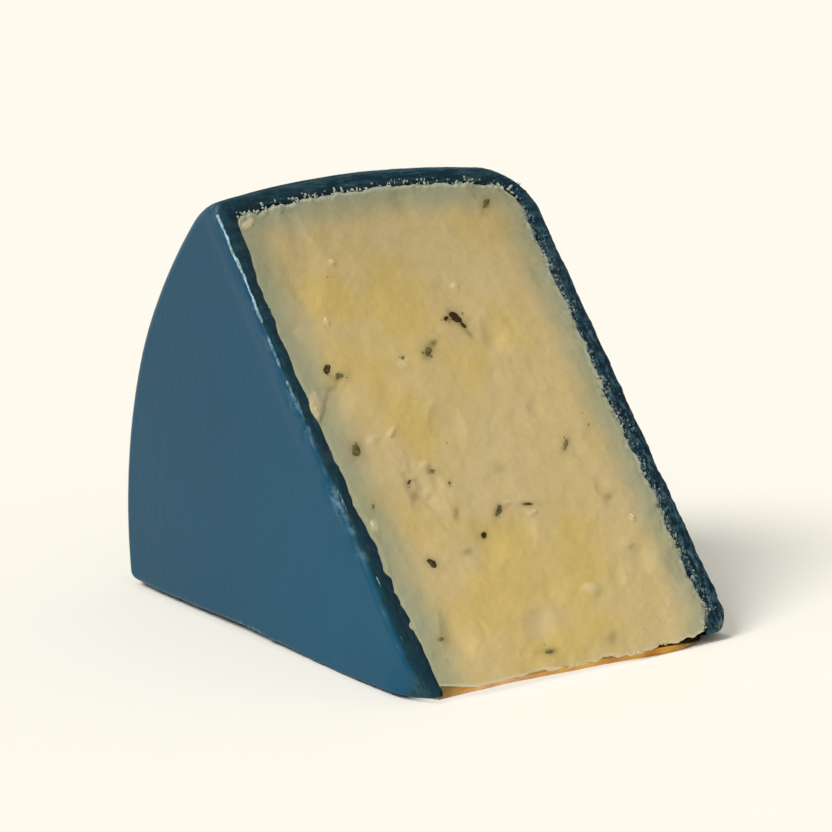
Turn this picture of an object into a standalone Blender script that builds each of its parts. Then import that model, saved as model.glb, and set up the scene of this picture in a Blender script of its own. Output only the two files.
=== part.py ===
"""A wedge cut from a wax-coated wheel of truffle cheddar, lying on one of its two cut faces.

The wheel's axis is the Y axis while the pieces are shaped, so the wedge's tip runs along Y at
X = Z = 0 and the rim lies towards -X. Lengths are in metres and angles in degrees.
"""

import math
import random

import bmesh
import bpy
from mathutils import Matrix, Vector, noise

# The wheel that the wedge was cut from
RIM_RADIUS = 0.0975  # at the crown of the rim
RIM_CROWN_Y = 0.0360  # the crown's distance from the near flat face
RIM_CROWN_ROUNDING = 0.160  # radius of the rim's own curve, from face to face
THICKNESS = 0.0645  # between the two flat faces, wax included
NEAR_SHOULDER = 0.0018  # rounding between the near face and the rim
FAR_SHOULDER = 0.0085  # rounding between the far face and the rim
WAX = 0.0038  # thickness of the wax coat
FIT_GAP = 0.0003  # between wax and cheese

# The wedge
WEDGE_ANGLE = 50.6
FLAT_SPOT_DEPTH = 0.0052  # the rim is sunken where it meets the lower cut
FLAT_SPOT_ANGLE = 30.0  # and is round again this far above it
FLAT_SPOT_FADE = 1.3
KNIFE_DEPTH = 0.0022  # the knife pressed the rim in at the upper cut
KNIFE_ANGLE = 5.0
TIP_BLUNTING = 0.0009  # the thin tip is squashed off
WAX_OFF_TABLE = 0.0005  # the wax ends just above the cut that the wedge lies on
WAX_PROUD = 0.0004  # and stands a little over the upper cut

# The relief of the upper cut: a slow waviness, a finer grain, and torn pits
WAVE_HEIGHT = 0.00028
WAVE_LENGTH = 0.011
GRAIN_HEIGHT = 0.00014
GRAIN_LENGTH = 0.0034
PIT_DEPTH = 0.0006
PIT_LENGTH = 0.0052
PIT_SHARE = 0.30  # noise above this value becomes a pit
WAX_RAGGEDNESS = 0.0004
WAX_RAG_LENGTH = 0.0045

# Truffle and pepper that show on the upper cut: the distance up from the tip, the distance in
# from the near flat face, length, width, and the turn away from straight up
MAIN_FLECKS = (
    (0.0864, 0.0535, 0.0030, 0.0013, 161),
    (0.0650, 0.0370, 0.0027, 0.0022, 98),
    (0.0651, 0.0350, 0.0011, 0.0009, 0),
    (0.0635, 0.0378, 0.0012, 0.0009, 60),
    (0.0596, 0.0289, 0.0022, 0.0017, 98),
    (0.0588, 0.0088, 0.0021, 0.0011, 32),
    (0.0574, 0.0106, 0.0015, 0.0012, 99),
    (0.0441, 0.0077, 0.0028, 0.0017, 33),
    (0.0393, 0.0475, 0.0036, 0.0013, 52),
    (0.0373, 0.0151, 0.0013, 0.0010, 0),
    (0.0389, 0.0201, 0.0024, 0.0011, 100),
    (0.0295, 0.0291, 0.0033, 0.0013, 52),
    (0.0298, 0.0357, 0.0019, 0.0010, 101),
    (0.0259, 0.0246, 0.0016, 0.0010, 52),
    (0.0232, 0.0129, 0.0017, 0.0014, 101),
    (0.0060, 0.0270, 0.0023, 0.0011, 94),
)
SMALL_FLECKS = 34
SMALL_FLECK_LENGTH = (0.0006, 0.0012)
SMALL_FLECK_SLIMNESS = (0.5, 0.9)
FLECK_HEIGHT = 0.0008
FLECK_PROUD = 0.0003  # the part of its height over the cheese
FLECK_UNEVENNESS = 0.14
FLECK_MARGIN = 0.0035  # small flecks keep this far from the wax
FLECK_SEED = 11

# Fineness of the facets
RIM_STEPS = 180  # round the whole wheel
PROFILE_STEPS = 22  # from face to face
CUT_STEP = 0.0021  # between the points of the cut's relief
REACH = 0.012  # how far a cutting shape passes the wheel

WAX_COLOUR = (0.036, 0.102, 0.153)
CHEESE_COLOUR = (0.58, 0.42, 0.16)


def rim_radius(y):
    """The wheel's outer radius at the distance y from the near face, before its shoulders."""
    return RIM_RADIUS - (y - RIM_CROWN_Y) ** 2 / (2 * RIM_CROWN_ROUNDING)


def shoulder_drop(distance, rounding):
    """How far a rounded shoulder falls below the rim at this distance from its flat face."""
    if distance >= rounding:
        return 0.0
    return rounding - math.sqrt(rounding**2 - (rounding - distance) ** 2)


def wheel_profile(inset):
    """Points (radius, y) from the near face's edge to the far face's, inset below the outside."""
    near_y, far_y = inset, THICKNESS - inset
    near_round = max(NEAR_SHOULDER - inset / 2, 0.001)
    far_round = max(FAR_SHOULDER - inset, 0.001)
    points = []
    for step in range(PROFILE_STEPS + 1):
        share = 0.5 - 0.5 * math.cos(math.pi * step / PROFILE_STEPS)
        y = near_y + share * (far_y - near_y)
        drop = shoulder_drop(y - near_y, near_round) + shoulder_drop(far_y - y, far_round)
        points.append((rim_radius(y) - inset - drop, y))
    return points


def object_from(bm, name):
    mesh = bpy.data.meshes.new(name)
    bm.to_mesh(mesh)
    bm.free()
    made = bpy.data.objects.new(name, mesh)
    bpy.context.scene.collection.objects.link(made)
    return made


def take_shape(target):
    """Replaces the object's mesh by what its modifiers make of it."""
    graph = bpy.context.evaluated_depsgraph_get()
    shaped = bpy.data.meshes.new_from_object(target.evaluated_get(graph))
    target.modifiers.clear()
    target.data = shaped


def rim_share(x, z):
    """The share of the radius that is left in this direction from the wheel's axis."""
    turn = math.degrees(math.atan2(z, -x))
    above_table = max(0.0, 1 - abs(turn) / FLAT_SPOT_ANGLE)
    below_knife = max(0.0, 1 - max(0.0, WEDGE_ANGLE - turn) / KNIFE_ANGLE)
    depth = FLAT_SPOT_DEPTH * above_table**FLAT_SPOT_FADE + KNIFE_DEPTH * below_knife**2
    return 1.0 - depth / RIM_RADIUS


def wheel(name, inset):
    """The whole wheel as a turned solid, its surface inset below the outside of the wax."""
    bm = bmesh.new()
    corners = [bm.verts.new((-radius, y, 0.0)) for radius, y in wheel_profile(inset)]
    for start, end in zip(corners, corners[1:]):
        bm.edges.new((start, end))
    made = object_from(bm, name)
    turned = made.modifiers.new("turned", "SCREW")
    turned.axis = "Y"
    turned.angle = math.tau
    turned.steps = turned.render_steps = RIM_STEPS
    turned.use_merge_vertices = True
    turned.merge_threshold = 0.00001
    take_shape(made)

    bm = bmesh.new()
    bm.from_mesh(made.data)
    bmesh.ops.holes_fill(bm, edges=[e for e in bm.edges if e.is_boundary], sides=0)
    for vert in bm.verts:
        share = rim_share(vert.co.x, vert.co.z)
        vert.co.x *= share
        vert.co.z *= share
    bmesh.ops.recalc_face_normals(bm, faces=bm.faces)
    bm.to_mesh(made.data)
    bm.free()
    return made


def cheese_relief(x, y):
    """Height of the cut cheese over the knife's plane."""
    place = Vector((x, y, 0.0))
    wave = WAVE_HEIGHT * noise.noise(place / WAVE_LENGTH)
    grain = GRAIN_HEIGHT * noise.noise(place / GRAIN_LENGTH + Vector((7.3, 1.9, 4.1)))
    torn = noise.noise(place / PIT_LENGTH + Vector((2.7, 8.8, 5.5)))
    pit = PIT_DEPTH * max(0.0, torn - PIT_SHARE) / (1 - PIT_SHARE)
    return wave + grain - pit


def wax_relief(x, y):
    """Height of the cut wax over the knife's plane."""
    place = Vector((x, y, 3.0))
    return WAX_RAGGEDNESS * noise.noise(place / WAX_RAG_LENGTH)


def between_cuts(name, bottom, proud, blunting, relief):
    """The space between the two cuts: flat below, with the knife's relief above."""
    slope = math.radians(WEDGE_ANGLE)
    run = (RIM_RADIUS + REACH) * math.cos(slope) + REACH
    far_x = -RIM_RADIUS - REACH
    width = THICKNESS + 2 * REACH
    rows = math.ceil(run / (CUT_STEP * math.cos(slope)))
    columns = math.ceil(width / CUT_STEP)

    bm = bmesh.new()
    bmesh.ops.create_grid(bm, x_segments=rows, y_segments=columns, size=0.5)
    for vert in bm.verts:
        x = -blunting - (0.5 - vert.co.x) * run
        y = THICKNESS / 2 + vert.co.y * width
        height = -x * math.tan(slope) + (proud + relief(x, y)) / math.cos(slope)
        vert.co = Vector((x, y, height))
    rim = [e for e in bm.edges if e.is_boundary]
    made = bmesh.ops.extrude_edge_only(bm, edges=rim)["geom"]
    foot = [g for g in made if isinstance(g, bmesh.types.BMVert)]
    for vert in foot:
        vert.co.z = bottom
        if vert.co.x < -blunting - run + 0.0001:
            vert.co.x = far_x
    loop = [e for e in bm.edges if e.is_boundary]
    bmesh.ops.holes_fill(bm, edges=loop, sides=0)
    bmesh.ops.recalc_face_normals(bm, faces=bm.faces)
    return object_from(bm, name)


def combine(target, other, operation):
    """Cuts the target by the other solid, or keeps what they share, and drops the other."""
    change = target.modifiers.new(operation.lower(), "BOOLEAN")
    change.operation = operation
    change.solver = "EXACT"
    change.object = other
    take_shape(target)
    bpy.data.objects.remove(other)


def fleck(length, width, place, turn, rng, collection):
    """One grain of truffle or pepper, as an uneven pebble lying in the upper cut."""
    bm = bmesh.new()
    bmesh.ops.create_icosphere(bm, subdivisions=2 if length > SMALL_FLECK_LENGTH[1] else 1, radius=0.5)
    for vert in bm.verts:
        vert.co *= rng.uniform(1 - FLECK_UNEVENNESS, 1 + FLECK_UNEVENNESS)
    bmesh.ops.scale(bm, vec=(length, width, FLECK_HEIGHT), verts=bm.verts)
    grain = object_from(bm, "fleck")
    bpy.context.scene.collection.objects.unlink(grain)
    collection.objects.link(grain)
    lean = Matrix.Rotation(math.radians(WEDGE_ANGLE), 4, "Y")
    grain.matrix_world = Matrix.Translation(place) @ lean @ Matrix.Rotation(-turn, 4, "Z")


def on_upper_cut(up, across):
    """The point and normal at these distances up from the tip and in from the near face."""
    slope = math.radians(WEDGE_ANGLE)
    x = -up * math.cos(slope)
    height = cheese_relief(x, across)
    normal = Vector((math.sin(slope), 0.0, math.cos(slope)))
    return Vector((x, across, up * math.sin(slope))) + normal * height, normal


def fleck_places(rng):
    """Yields (up, across, length, width, turn) of every fleck."""
    for up, across, length, width, turn in MAIN_FLECKS:
        yield up, across, length, width, math.radians(turn)
    for _ in range(SMALL_FLECKS):
        across = rng.uniform(WAX + FLECK_MARGIN, THICKNESS - WAX - 2 * FLECK_MARGIN)
        up = rng.uniform(2 * FLECK_MARGIN, rim_radius(across) - WAX - 2 * FLECK_MARGIN)
        length = rng.uniform(*SMALL_FLECK_LENGTH)
        width = length * rng.uniform(*SMALL_FLECK_SLIMNESS)
        yield up, across, length, width, rng.uniform(0, math.pi)


def add_flecks(cheese):
    """Fuses the flecks to the cheese."""
    rng = random.Random(FLECK_SEED)
    flecks = bpy.data.collections.new("flecks")
    bpy.context.scene.collection.children.link(flecks)
    for up, across, length, width, turn in fleck_places(rng):
        surface, normal = on_upper_cut(up, across)
        place = surface + normal * (FLECK_PROUD - FLECK_HEIGHT / 2)
        fleck(length, width, place, turn, rng, flecks)
    fuse = cheese.modifiers.new("flecks", "BOOLEAN")
    fuse.operation = "UNION"
    fuse.operand_type = "COLLECTION"
    fuse.solver = "EXACT"
    fuse.collection = flecks
    take_shape(cheese)
    for grain in list(flecks.objects):
        bpy.data.objects.remove(grain)
    bpy.data.collections.remove(flecks)


def paint(target, name, colour, roughness):
    material = bpy.data.materials.new(name)
    material.use_nodes = True
    shader = material.node_tree.nodes["Principled BSDF"]
    shader.inputs["Base Color"].default_value = (*colour, 1.0)
    shader.inputs["Roughness"].default_value = roughness
    shader.inputs["Metallic"].default_value = 0.0
    target.data.materials.clear()
    target.data.materials.append(material)


def make_cheese():
    cheese = wheel("cheese", WAX + FIT_GAP)
    combine(cheese, between_cuts("cheese_cuts", 0.0, 0.0, TIP_BLUNTING, cheese_relief), "INTERSECT")
    add_flecks(cheese)
    paint(cheese, "cheese_paste", CHEESE_COLOUR, 0.45)
    return cheese


def make_wax_coat():
    coat = wheel("wax_coat", 0.0)
    combine(coat, wheel("wax_inside", WAX), "DIFFERENCE")
    cuts = between_cuts("wax_cuts", WAX_OFF_TABLE, WAX_PROUD, TIP_BLUNTING, wax_relief)
    combine(coat, cuts, "INTERSECT")
    paint(coat, "navy_wax", WAX_COLOUR, 0.38)
    return coat


def centre_on_base(pieces):
    """Hangs the pieces on one empty, so that the origin is the centre of their box's base."""
    points = [vert.co for piece in pieces for vert in piece.data.vertices]
    low = Vector([min(point[axis] for point in points) for axis in range(3)])
    high = Vector([max(point[axis] for point in points) for axis in range(3)])
    centre = bpy.data.objects.new("wedge_centre", None)
    bpy.context.scene.collection.objects.link(centre)
    centre.location = (-(low.x + high.x) / 2, -(low.y + high.y) / 2, -low.z)
    for piece in pieces:
        piece.parent = centre


def main():
    for old in list(bpy.data.objects):
        bpy.data.objects.remove(old)
    wedge = bpy.data.collections.new("truffle_cheddar_wedge")
    bpy.context.scene.collection.children.link(wedge)
    pieces = [make_cheese(), make_wax_coat()]
    for piece in pieces:
        bpy.context.scene.collection.objects.unlink(piece)
        wedge.objects.link(piece)
        piece.data.shade_smooth()
        piece.data.set_sharp_from_angle(angle=math.radians(35))
    centre_on_base(pieces)
    bpy.context.view_layer.update()


main()
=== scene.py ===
"""The looks of a wedge of truffle cheddar in dark blue wax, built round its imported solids.

The wheel that the wedge was cut from has its axis along Y. Below, "up" is a distance along the
upper cut from the wheel's axis, "across" a distance from the near flat face, and "lift" a share
of the turn from the lower cut, which lies on the table, to the upper one. Lengths are in metres.
"""

import math
import random

import bmesh
import bpy
from mathutils import Matrix, Vector, noise


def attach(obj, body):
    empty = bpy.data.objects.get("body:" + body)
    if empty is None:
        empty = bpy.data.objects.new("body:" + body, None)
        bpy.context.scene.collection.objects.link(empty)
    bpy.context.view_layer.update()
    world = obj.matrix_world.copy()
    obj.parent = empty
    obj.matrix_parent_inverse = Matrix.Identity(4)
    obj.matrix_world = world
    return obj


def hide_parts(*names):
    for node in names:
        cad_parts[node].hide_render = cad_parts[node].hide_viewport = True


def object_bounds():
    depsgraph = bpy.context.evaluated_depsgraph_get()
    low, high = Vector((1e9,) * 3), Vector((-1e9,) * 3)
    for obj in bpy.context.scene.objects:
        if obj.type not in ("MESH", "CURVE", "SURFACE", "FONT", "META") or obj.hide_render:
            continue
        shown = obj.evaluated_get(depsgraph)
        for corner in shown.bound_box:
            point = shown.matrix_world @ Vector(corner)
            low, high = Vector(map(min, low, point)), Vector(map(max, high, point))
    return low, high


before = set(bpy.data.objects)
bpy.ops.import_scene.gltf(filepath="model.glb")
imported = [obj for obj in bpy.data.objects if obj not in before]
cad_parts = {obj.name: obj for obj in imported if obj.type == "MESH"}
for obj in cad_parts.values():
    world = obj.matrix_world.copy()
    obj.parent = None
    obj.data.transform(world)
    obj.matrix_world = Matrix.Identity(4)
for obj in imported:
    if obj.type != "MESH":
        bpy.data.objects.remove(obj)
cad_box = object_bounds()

bl_info = {
    "name": "Truffle cheddar wedge",
    "version": (1, 0, 0),
    "blender": (4, 5, 0),
    "location": "3D View > Sidebar > Cheddar",
    "description": "Dresses the packed solids of a wedge of truffle cheddar in its wax",
    "category": "Object",
}

# The wheel and the wedge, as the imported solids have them
RIM_RADIUS = 0.0975
RIM_CROWN_ACROSS = 0.0360
RIM_CROWN_ROUNDING = 0.160
THICKNESS = 0.0645
NEAR_SHOULDER = 0.0018
FAR_SHOULDER = 0.0085
SMALLEST_SHOULDER = 0.001
WAX = 0.0038
WEDGE_TURN = math.radians(50.6)
TIP_BLUNTING = 0.0009  # how far the tip falls short of the line where the two cuts would meet
TIP_X = cad_box[1].x + TIP_BLUNTING
NEAR_Y = cad_box[0].y
UPWARD = Vector((0, 0, 1))
CUT_NORMAL = Vector((math.sin(WEDGE_TURN), 0, math.cos(WEDGE_TURN)))
# The rim is flatter where the wheel had stood on it, by the table, and where the knife pressed it
FLAT_SPOT_DEPTH = 0.0052
FLAT_SPOT_TURN = math.radians(30)
FLAT_SPOT_FADE = 1.3
KNIFE_DEPTH = 0.0022
KNIFE_TURN = math.radians(5)

# The wax along the near edge of the upper cut, as (up, value) pairs: how wide its cut is, how far
# in the cut's colour starts, how round the edge is, how thick its burr is and how white
NEAR_WAX = ((0.000, 0.0053), (0.030, 0.0043), (0.050, 0.0034), (0.066, 0.0026), (0.090, 0.0037))
FACE_EDGE = ((0.000, 0.0013), (0.025, 0.0012), (0.045, 0.0007), (0.060, 0.0002), (0.095, 0.0000))
NEAR_ROUNDING = ((0.000, 0.0006), (0.012, 0.0008), (0.035, 0.0008), (0.055, 0.0005), (0.065, 0.0002))
BURR = ((0.004, 0.0), (0.030, 0.45), (0.046, 0.7), (0.066, 0.75), (0.073, 1.0), (0.077, 2.0), (0.093, 2.0))
BURR_WHITENESS = ((0.030, 0.15), (0.066, 0.30), (0.074, 0.60), (0.078, 1.0))
NEAR_CORNER_UP = 0.0953  # where that edge meets the rim
# The wax elsewhere
FAR_WAX = 0.0037
FAR_LAP = 0.0021  # how much wider it is at the tip, where it laps round the cheese
RIM_ROUNDING = 0.0011
FAR_ROUNDING = 0.0007
FOOT_ROUNDING = 0.0004
RIM_FOOT_ROUNDING = 0.0018
FACE_INSET = 0.00045  # the near face lies this far in; its edge flares out under the knife
NOTCH_DEPTH = 0.0005
# The wax's two ends at the tip: the radius of each nose between the cuts, and the reach up the side
# and across of its rounding as seen from above
NEAR_NOSE = 0.0012
FAR_NOSE = 0.0015
NEAR_TIP_ROUNDING = (0.0120, 0.0036)
FAR_TIP_ROUNDING = (0.0048, 0.0035)
SHARP = (0.00001, 0.00001)
SHOULDER_MIDDLE = 0.29  # how far in a rounding the middle of its quarter turn lies
TIP_FADE = 0.012  # how far from the tip a nose still shapes the side
# How far the near foot of the wax stands off the table, by its distance from the wheel's axis
FOOT_GAP = (
    (0.000, 0.0004),
    (0.013, 0.0002),
    (0.024, 0.0),
    (0.040, 0.0005),
    (0.052, 0.0009),
    (0.066, 0.0007),
    (0.079, 0.0006),
    (0.087, 0.0010),
    (0.092, 0.0024),
)
FAR_FOOT_GAP = 0.0009  # the same at the far side's tip
WAX_OVER_TABLE = 0.0002  # the least gap anywhere
GAP_FADE = 0.012  # the height over the table up to which the wax is lifted

# The tip: (across, height over the table) pairs of the cheese's lip and of the top of the amber film
# that is painted under it for light glowing through the thin edge, and how far the foot of both lies
# behind the line where the two cuts would meet
LIP_HEIGHT = (
    (0.0055, 0.0024),
    (0.0092, 0.0018),
    (0.0120, 0.0014),
    (0.0200, 0.0015),
    (0.0270, 0.0016),
    (0.0310, 0.0014),
    (0.0370, 0.0014),
    (0.0440, 0.0010),
    (0.0475, 0.0014),
    (0.0520, 0.0015),
    (0.0573, 0.0020),
    (0.0605, 0.0027),
)
FILM_TOP = ((0.0430, 0.0030), (0.0450, 0.0011), (0.0520, 0.0009), (0.0550, 0.0006), (0.0580, 0.0002))
FILM_END = 0.0580
FILM_GAP = 0.00002  # between the film and the table
FILM_REACH = (0.0010, 0.00080, 0.00012)  # how far in its foot, its top and its top's edge lie
TIP_RECESS = (
    (0.0055, 0.0027),
    (0.0134, 0.0030),
    (0.0200, 0.0032),
    (0.0260, 0.0028),
    (0.0380, 0.0021),
    (0.0440, 0.0015),
    (0.0500, 0.0011),
    (0.0540, 0.0013),
    (0.0590, 0.0030),
)
CHEESE_BEHIND_FILM = 0.0003
# Past the first of these distances across, up to the second, the cheese under the lip is hollow and
# painted near-black as shade; how far in it lies before and there
HOLLOW_ACROSS = (0.043, 0.047)
HOLLOW_DEPTH = (0.0001, 0.0011)

# Truffle and pepper in the upper cut: up, across, length, width, turn in degrees from the up
# direction towards across, how dark its stain is, and how much of the grain shows
FLECKS = (
    (0.0864, 0.0535, 0.0034, 0.0012, 49, 0.7, 0.7),
    (0.0650, 0.0370, 0.0026, 0.0021, -30, 0.9, 1.0),
    (0.0652, 0.0350, 0.0013, 0.0010, 60, 0.6, 0.9),
    (0.0635, 0.0378, 0.0014, 0.0009, -20, 0.5, 0.8),
    (0.0617, 0.0384, 0.0016, 0.0007, -30, 0.4, 0.2),
    (0.0596, 0.0289, 0.0026, 0.0016, 45, 0.9, 0.5),
    (0.0611, 0.0307, 0.0018, 0.0008, 55, 0.5, 0.2),
    (0.0589, 0.0087, 0.0021, 0.0012, 32, 0.6, 1.0),
    (0.0573, 0.0103, 0.0022, 0.0010, 60, 0.6, 0.4),
    (0.0441, 0.0077, 0.0028, 0.0019, 33, 0.6, 0.5),
    (0.0393, 0.0475, 0.0034, 0.0009, 49, 0.6, 0.4),
    (0.0385, 0.0200, 0.0018, 0.0010, 99, 0.5, 0.3),
    (0.0373, 0.0150, 0.0016, 0.0007, 60, 0.5, 0.6),
    (0.0359, 0.0222, 0.0009, 0.0006, 60, 0.4, 0.5),
    (0.0350, 0.0150, 0.0022, 0.0012, 40, 0.4, 0.1),
    (0.0370, 0.0330, 0.0020, 0.0014, 40, 0.3, 0.1),
    (0.0305, 0.0210, 0.0026, 0.0012, 30, 0.5, 0.2),
    (0.0299, 0.0290, 0.0027, 0.0011, 49, 0.8, 0.7),
    (0.0300, 0.0350, 0.0026, 0.0007, 95, 0.7, 0.6),
    (0.0262, 0.0247, 0.0015, 0.0010, 50, 0.7, 0.9),
    (0.0238, 0.0200, 0.0020, 0.0010, 80, 0.4, 0.1),
    (0.0290, 0.0516, 0.0024, 0.0014, 60, 0.5, 0.2),
    (0.0340, 0.0065, 0.0009, 0.0006, 30, 0.4, 0.6),
    (0.0232, 0.0129, 0.0018, 0.0014, -55, 0.7, 1.0),
    (0.0105, 0.0088, 0.0013, 0.0007, 80, 0.5, 0.5),
    (0.0195, 0.0512, 0.0018, 0.0008, 80, 0.3, 0.1),
    (0.0049, 0.0272, 0.0024, 0.0010, 94, 0.7, 0.4),
    (0.0048, 0.0400, 0.0026, 0.0018, 40, 0.4, 0.1),
    (0.0590, 0.0234, 0.0012, 0.0008, 50, 0.3, 0.3),
)
# Yellower curd, and paler curd with a negative strength: up, across, length, width, strength
CURD_PATCHES = (
    (0.068, 0.0265, 0.0085, 0.0060, 1.0),
    (0.0715, 0.0145, 0.0050, 0.0045, 0.8),
    (0.058, 0.0155, 0.0060, 0.0050, 0.5),
    (0.0465, 0.0195, 0.0055, 0.0045, 1.0),
    (0.055, 0.0375, 0.0070, 0.0060, 0.4),
    (0.061, 0.0480, 0.0060, 0.0050, 0.4),
    (0.0245, 0.0275, 0.0050, 0.0060, 0.9),
    (0.016, 0.0235, 0.0060, 0.0100, 1.0),
    (0.020, 0.0420, 0.0110, 0.0060, 0.5),
    (0.006, 0.0310, 0.0030, 0.0100, 0.8),
    (0.0087, 0.0269, 0.0022, 0.0026, -1.0),
    (0.042, 0.0115, 0.0050, 0.0050, -0.7),
    (0.0240, 0.0215, 0.0030, 0.0040, -0.5),
    (0.076, 0.0420, 0.0080, 0.0080, -0.4),
    (0.046, 0.0330, 0.0060, 0.0080, -0.3),
)
# Lumps of pale curd that stand out of the cut: up, across, length, width, turn, height
LUMPS = (
    (0.0137, 0.0402, 0.0038, 0.0021, 100, 0.00045),
    (0.0463, 0.0155, 0.0030, 0.0009, 55, 0.00035),
    (0.0782, 0.0178, 0.0013, 0.0010, 0, 0.00030),
    (0.0711, 0.0397, 0.0014, 0.0011, 70, 0.00030),
    (0.0675, 0.0122, 0.0017, 0.0009, 10, 0.00030),
    (0.0582, 0.0232, 0.0030, 0.0018, 70, 0.00020),
    (0.0868, 0.0052, 0.0030, 0.0014, 60, 0.00030),
    (0.0530, 0.0040, 0.0052, 0.0024, 25, 0.00035),
    (0.0309, 0.0311, 0.0026, 0.0012, 80, 0.00035),
    (0.0284, 0.0352, 0.0020, 0.0009, 80, 0.00030),
    (0.0395, 0.0188, 0.0030, 0.0012, 60, 0.00030),
    (0.0244, 0.0542, 0.0013, 0.0010, 30, 0.00030),
    (0.0455, 0.0115, 0.0030, 0.0014, 60, 0.00020),
    (0.0310, 0.0055, 0.0020, 0.0014, 0, 0.00025),
)
CRACK = ((0.0598, 0.0145), (0.0575, 0.0112), (0.0545, 0.0072), (0.0532, 0.0059), (0.0500, 0.0034))
CRACK_WIDTH = 0.0003
CRACK_DEPTH = 0.00013
CRUMBLED = (0.0362, 0.0176, 0.0075, 0.0040)  # up, across, and the reach in each
# Fine relief in layers of height, wavelength and seed: all over, where the cut is torn along the
# wax, and where it is crumbled
GRAIN = ((0.00005, 0.0011, 1), (0.00003, 0.0006, 2))
TORN = ((0.00026, 0.0010, 4), (0.00014, 0.0005, 5))
CRUMBLE = ((0.00024, 0.0015, 6),)
# How deep the cut drops off at its edges, and over what distance
NEAR_DROP = (0.00012, 0.0004)
WAX_DROP = (0.00035, 0.0005)
LIP_DROP = (0.00014, 0.0004)
SPOT_SQUARE = 0.005  # the side of the squares that the spots of the cut are sorted into

# A fleck's chip: an ellipsoid sunk so deep that its section at the cut has the stated size
CHIP_THICKNESS = 0.00050
CHIP_SUNK = 0.00017
CHIP_SPREAD = 1.36
ROUND_FLECK = 1.9  # a fleck longer than this many times its width is a row of chips
LEAST_SHOWN = 0.25  # a fleck that shows less than this is a stain only
CHIP_ROW = ((-0.26, 0.5, 0.6), (0, 0.62, 1.0), (0.28, 0.45, 0.7))  # place, length and width of each
GRAIN_LUMPS = 0.0006  # the wavelength of the unevenness of chips and curd bits
# Beds of crumbs along the wax: the edge, how far into the wax the bed's middle lies, its width, the
# seed, least density and wavelength of its patches, its tone, and its crumbs: how many to a square
# millimetre, the smallest, the largest and their seed
CHEESE_BEDS = (
    ("far", 0.0003, 0.0024, (31, 0.35, 0.005), 0.60, 5.5, 0.00018, 0.00080, 41),
    ("top", 0.0003, 0.0018, (32, 0.30, 0.006), 0.25, 6.5, 0.00018, 0.00075, 42),
    ("near", 0.0002, 0.0008, (33, 0.00, 0.007), 0.30, 0.4, 0.00020, 0.00040, 43),
)
WAX_BEDS = (
    ("far", 0.0012, 0.0028, (34, 0.40, 0.006), 0.50, 5.0, 0.00020, 0.00070, 44),
    ("top", 0.0009, 0.0018, (35, 0.10, 0.007), 0.50, 2.4, 0.00018, 0.00050, 45),
)
CRUMBS_SUNK = 0.00014

# Fineness of the meshes
PAPER_THIN = 0.00015  # how far the cheese reaches into the wax, so that no gap shows
LID_DEPTH = 0.0018  # how far under the flat sides the cheese's hidden ends lie
LID_SIZE = 0.90  # how large they are, as a share of the last ring in sight
CHEESE_UP_STEPS = 300
CHEESE_ACROSS_STEPS = 190
END_CROWDING = 0.35  # how much closer together those steps are at both ends, from 0 to 1
CHEESE_RIM_STEPS = 8
CHEESE_FOOT_STEPS = 12
CHEESE_TIP_STEPS = 9
WAX_SIDE_STEPS = 255
WAX_RIM_STEPS = 168
WAX_CUT_STEPS = 13
CORNER_STEPS = 12
OUTLINE_STEPS = 120  # of the rim, before the outline is divided evenly
# The route of a ring of the wax: the shares of the turn by the foot, the shares of the wax's thickness
# under the foot, the step half-way up, and by the upper cut how far the finer steps reach, the first
# of them and how much each one grows
FOOT_LIFTS = [0.0, 0.004, 0.009, 0.016, 0.024]
FOOT_SHARES = (0.75, 0.5, 0.25, 0.12)
SIDE_LIFT = 0.026
FINE_LIFTS = (0.24, 0.0034, 1.17)
SIDE_BED_STEPS = 180
TOP_BED_STEPS = 160
BURR_STEPS = 420
FILM_STEPS = 240

# Where the main light comes from, and the camera
KEY_FROM = Vector((-0.12, -0.66, 0.74))
CAMERA_PLACE = Vector((0.3655, -0.2608, 0.1280))
CAMERA_AIM = Vector((0.001, 0.0, 0.0335))
KEY_COLOUR = (1.0, 0.975, 0.93)
HORIZON = (0.03, 0.14)  # how high over level the pale surround starts to dim, and where it has dimmed
FLOOR_RADIUS = 8.0
FLOOR_SUNK = 0.00004
TIP_GLOW_AT = (0.0445, -0.0090)  # the middle of the floor's paler spot by the tip, and its reach
TIP_GLOW_REACH = (0.007, 0.024)


def mix(low, high, share):
    return low + (high - low) * share


def clamp(value, low=0.0, high=1.0):
    return max(low, min(high, value))


def smooth(low, high, value):
    """0 below low, 1 above high, and an even slope between."""
    share = clamp((value - low) / (high - low))
    return share * share * (3 - 2 * share)


def along(pairs, place):
    """The value at a place on a line through (place, value) pairs."""
    if place <= pairs[0][0]:
        return pairs[0][1]
    for (start, first), (end, second) in zip(pairs, pairs[1:]):
        if place <= end:
            return mix(first, second, (place - start) / (end - start))
    return pairs[-1][1]


def ripple(up, across, length, seed):
    """Even noise from -1 to 1 over the cut, of about this wavelength."""
    return noise.noise(Vector((up / length, across / length, seed * 7.31)))


def layered(layers, up, across):
    """Relief of several ripples, each a (height, wavelength, seed)."""
    return sum(height * ripple(up, across, length, seed) for height, length, seed in layers)


def ragged(place, seed, length=0.0021):
    """The wander of a torn edge at a distance along it, from -1 to 1."""
    fine = noise.noise(Vector((place / (length * 0.35), seed * 3.7, 5.5)))
    return clamp(1.3 * noise.noise(Vector((place / length, seed * 3.7, 0.5))) + 0.6 * fine, -1, 1)


# The wheel's form


def rim_radius(across):
    return RIM_RADIUS - (across - RIM_CROWN_ACROSS) ** 2 / (2 * RIM_CROWN_ROUNDING)


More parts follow.
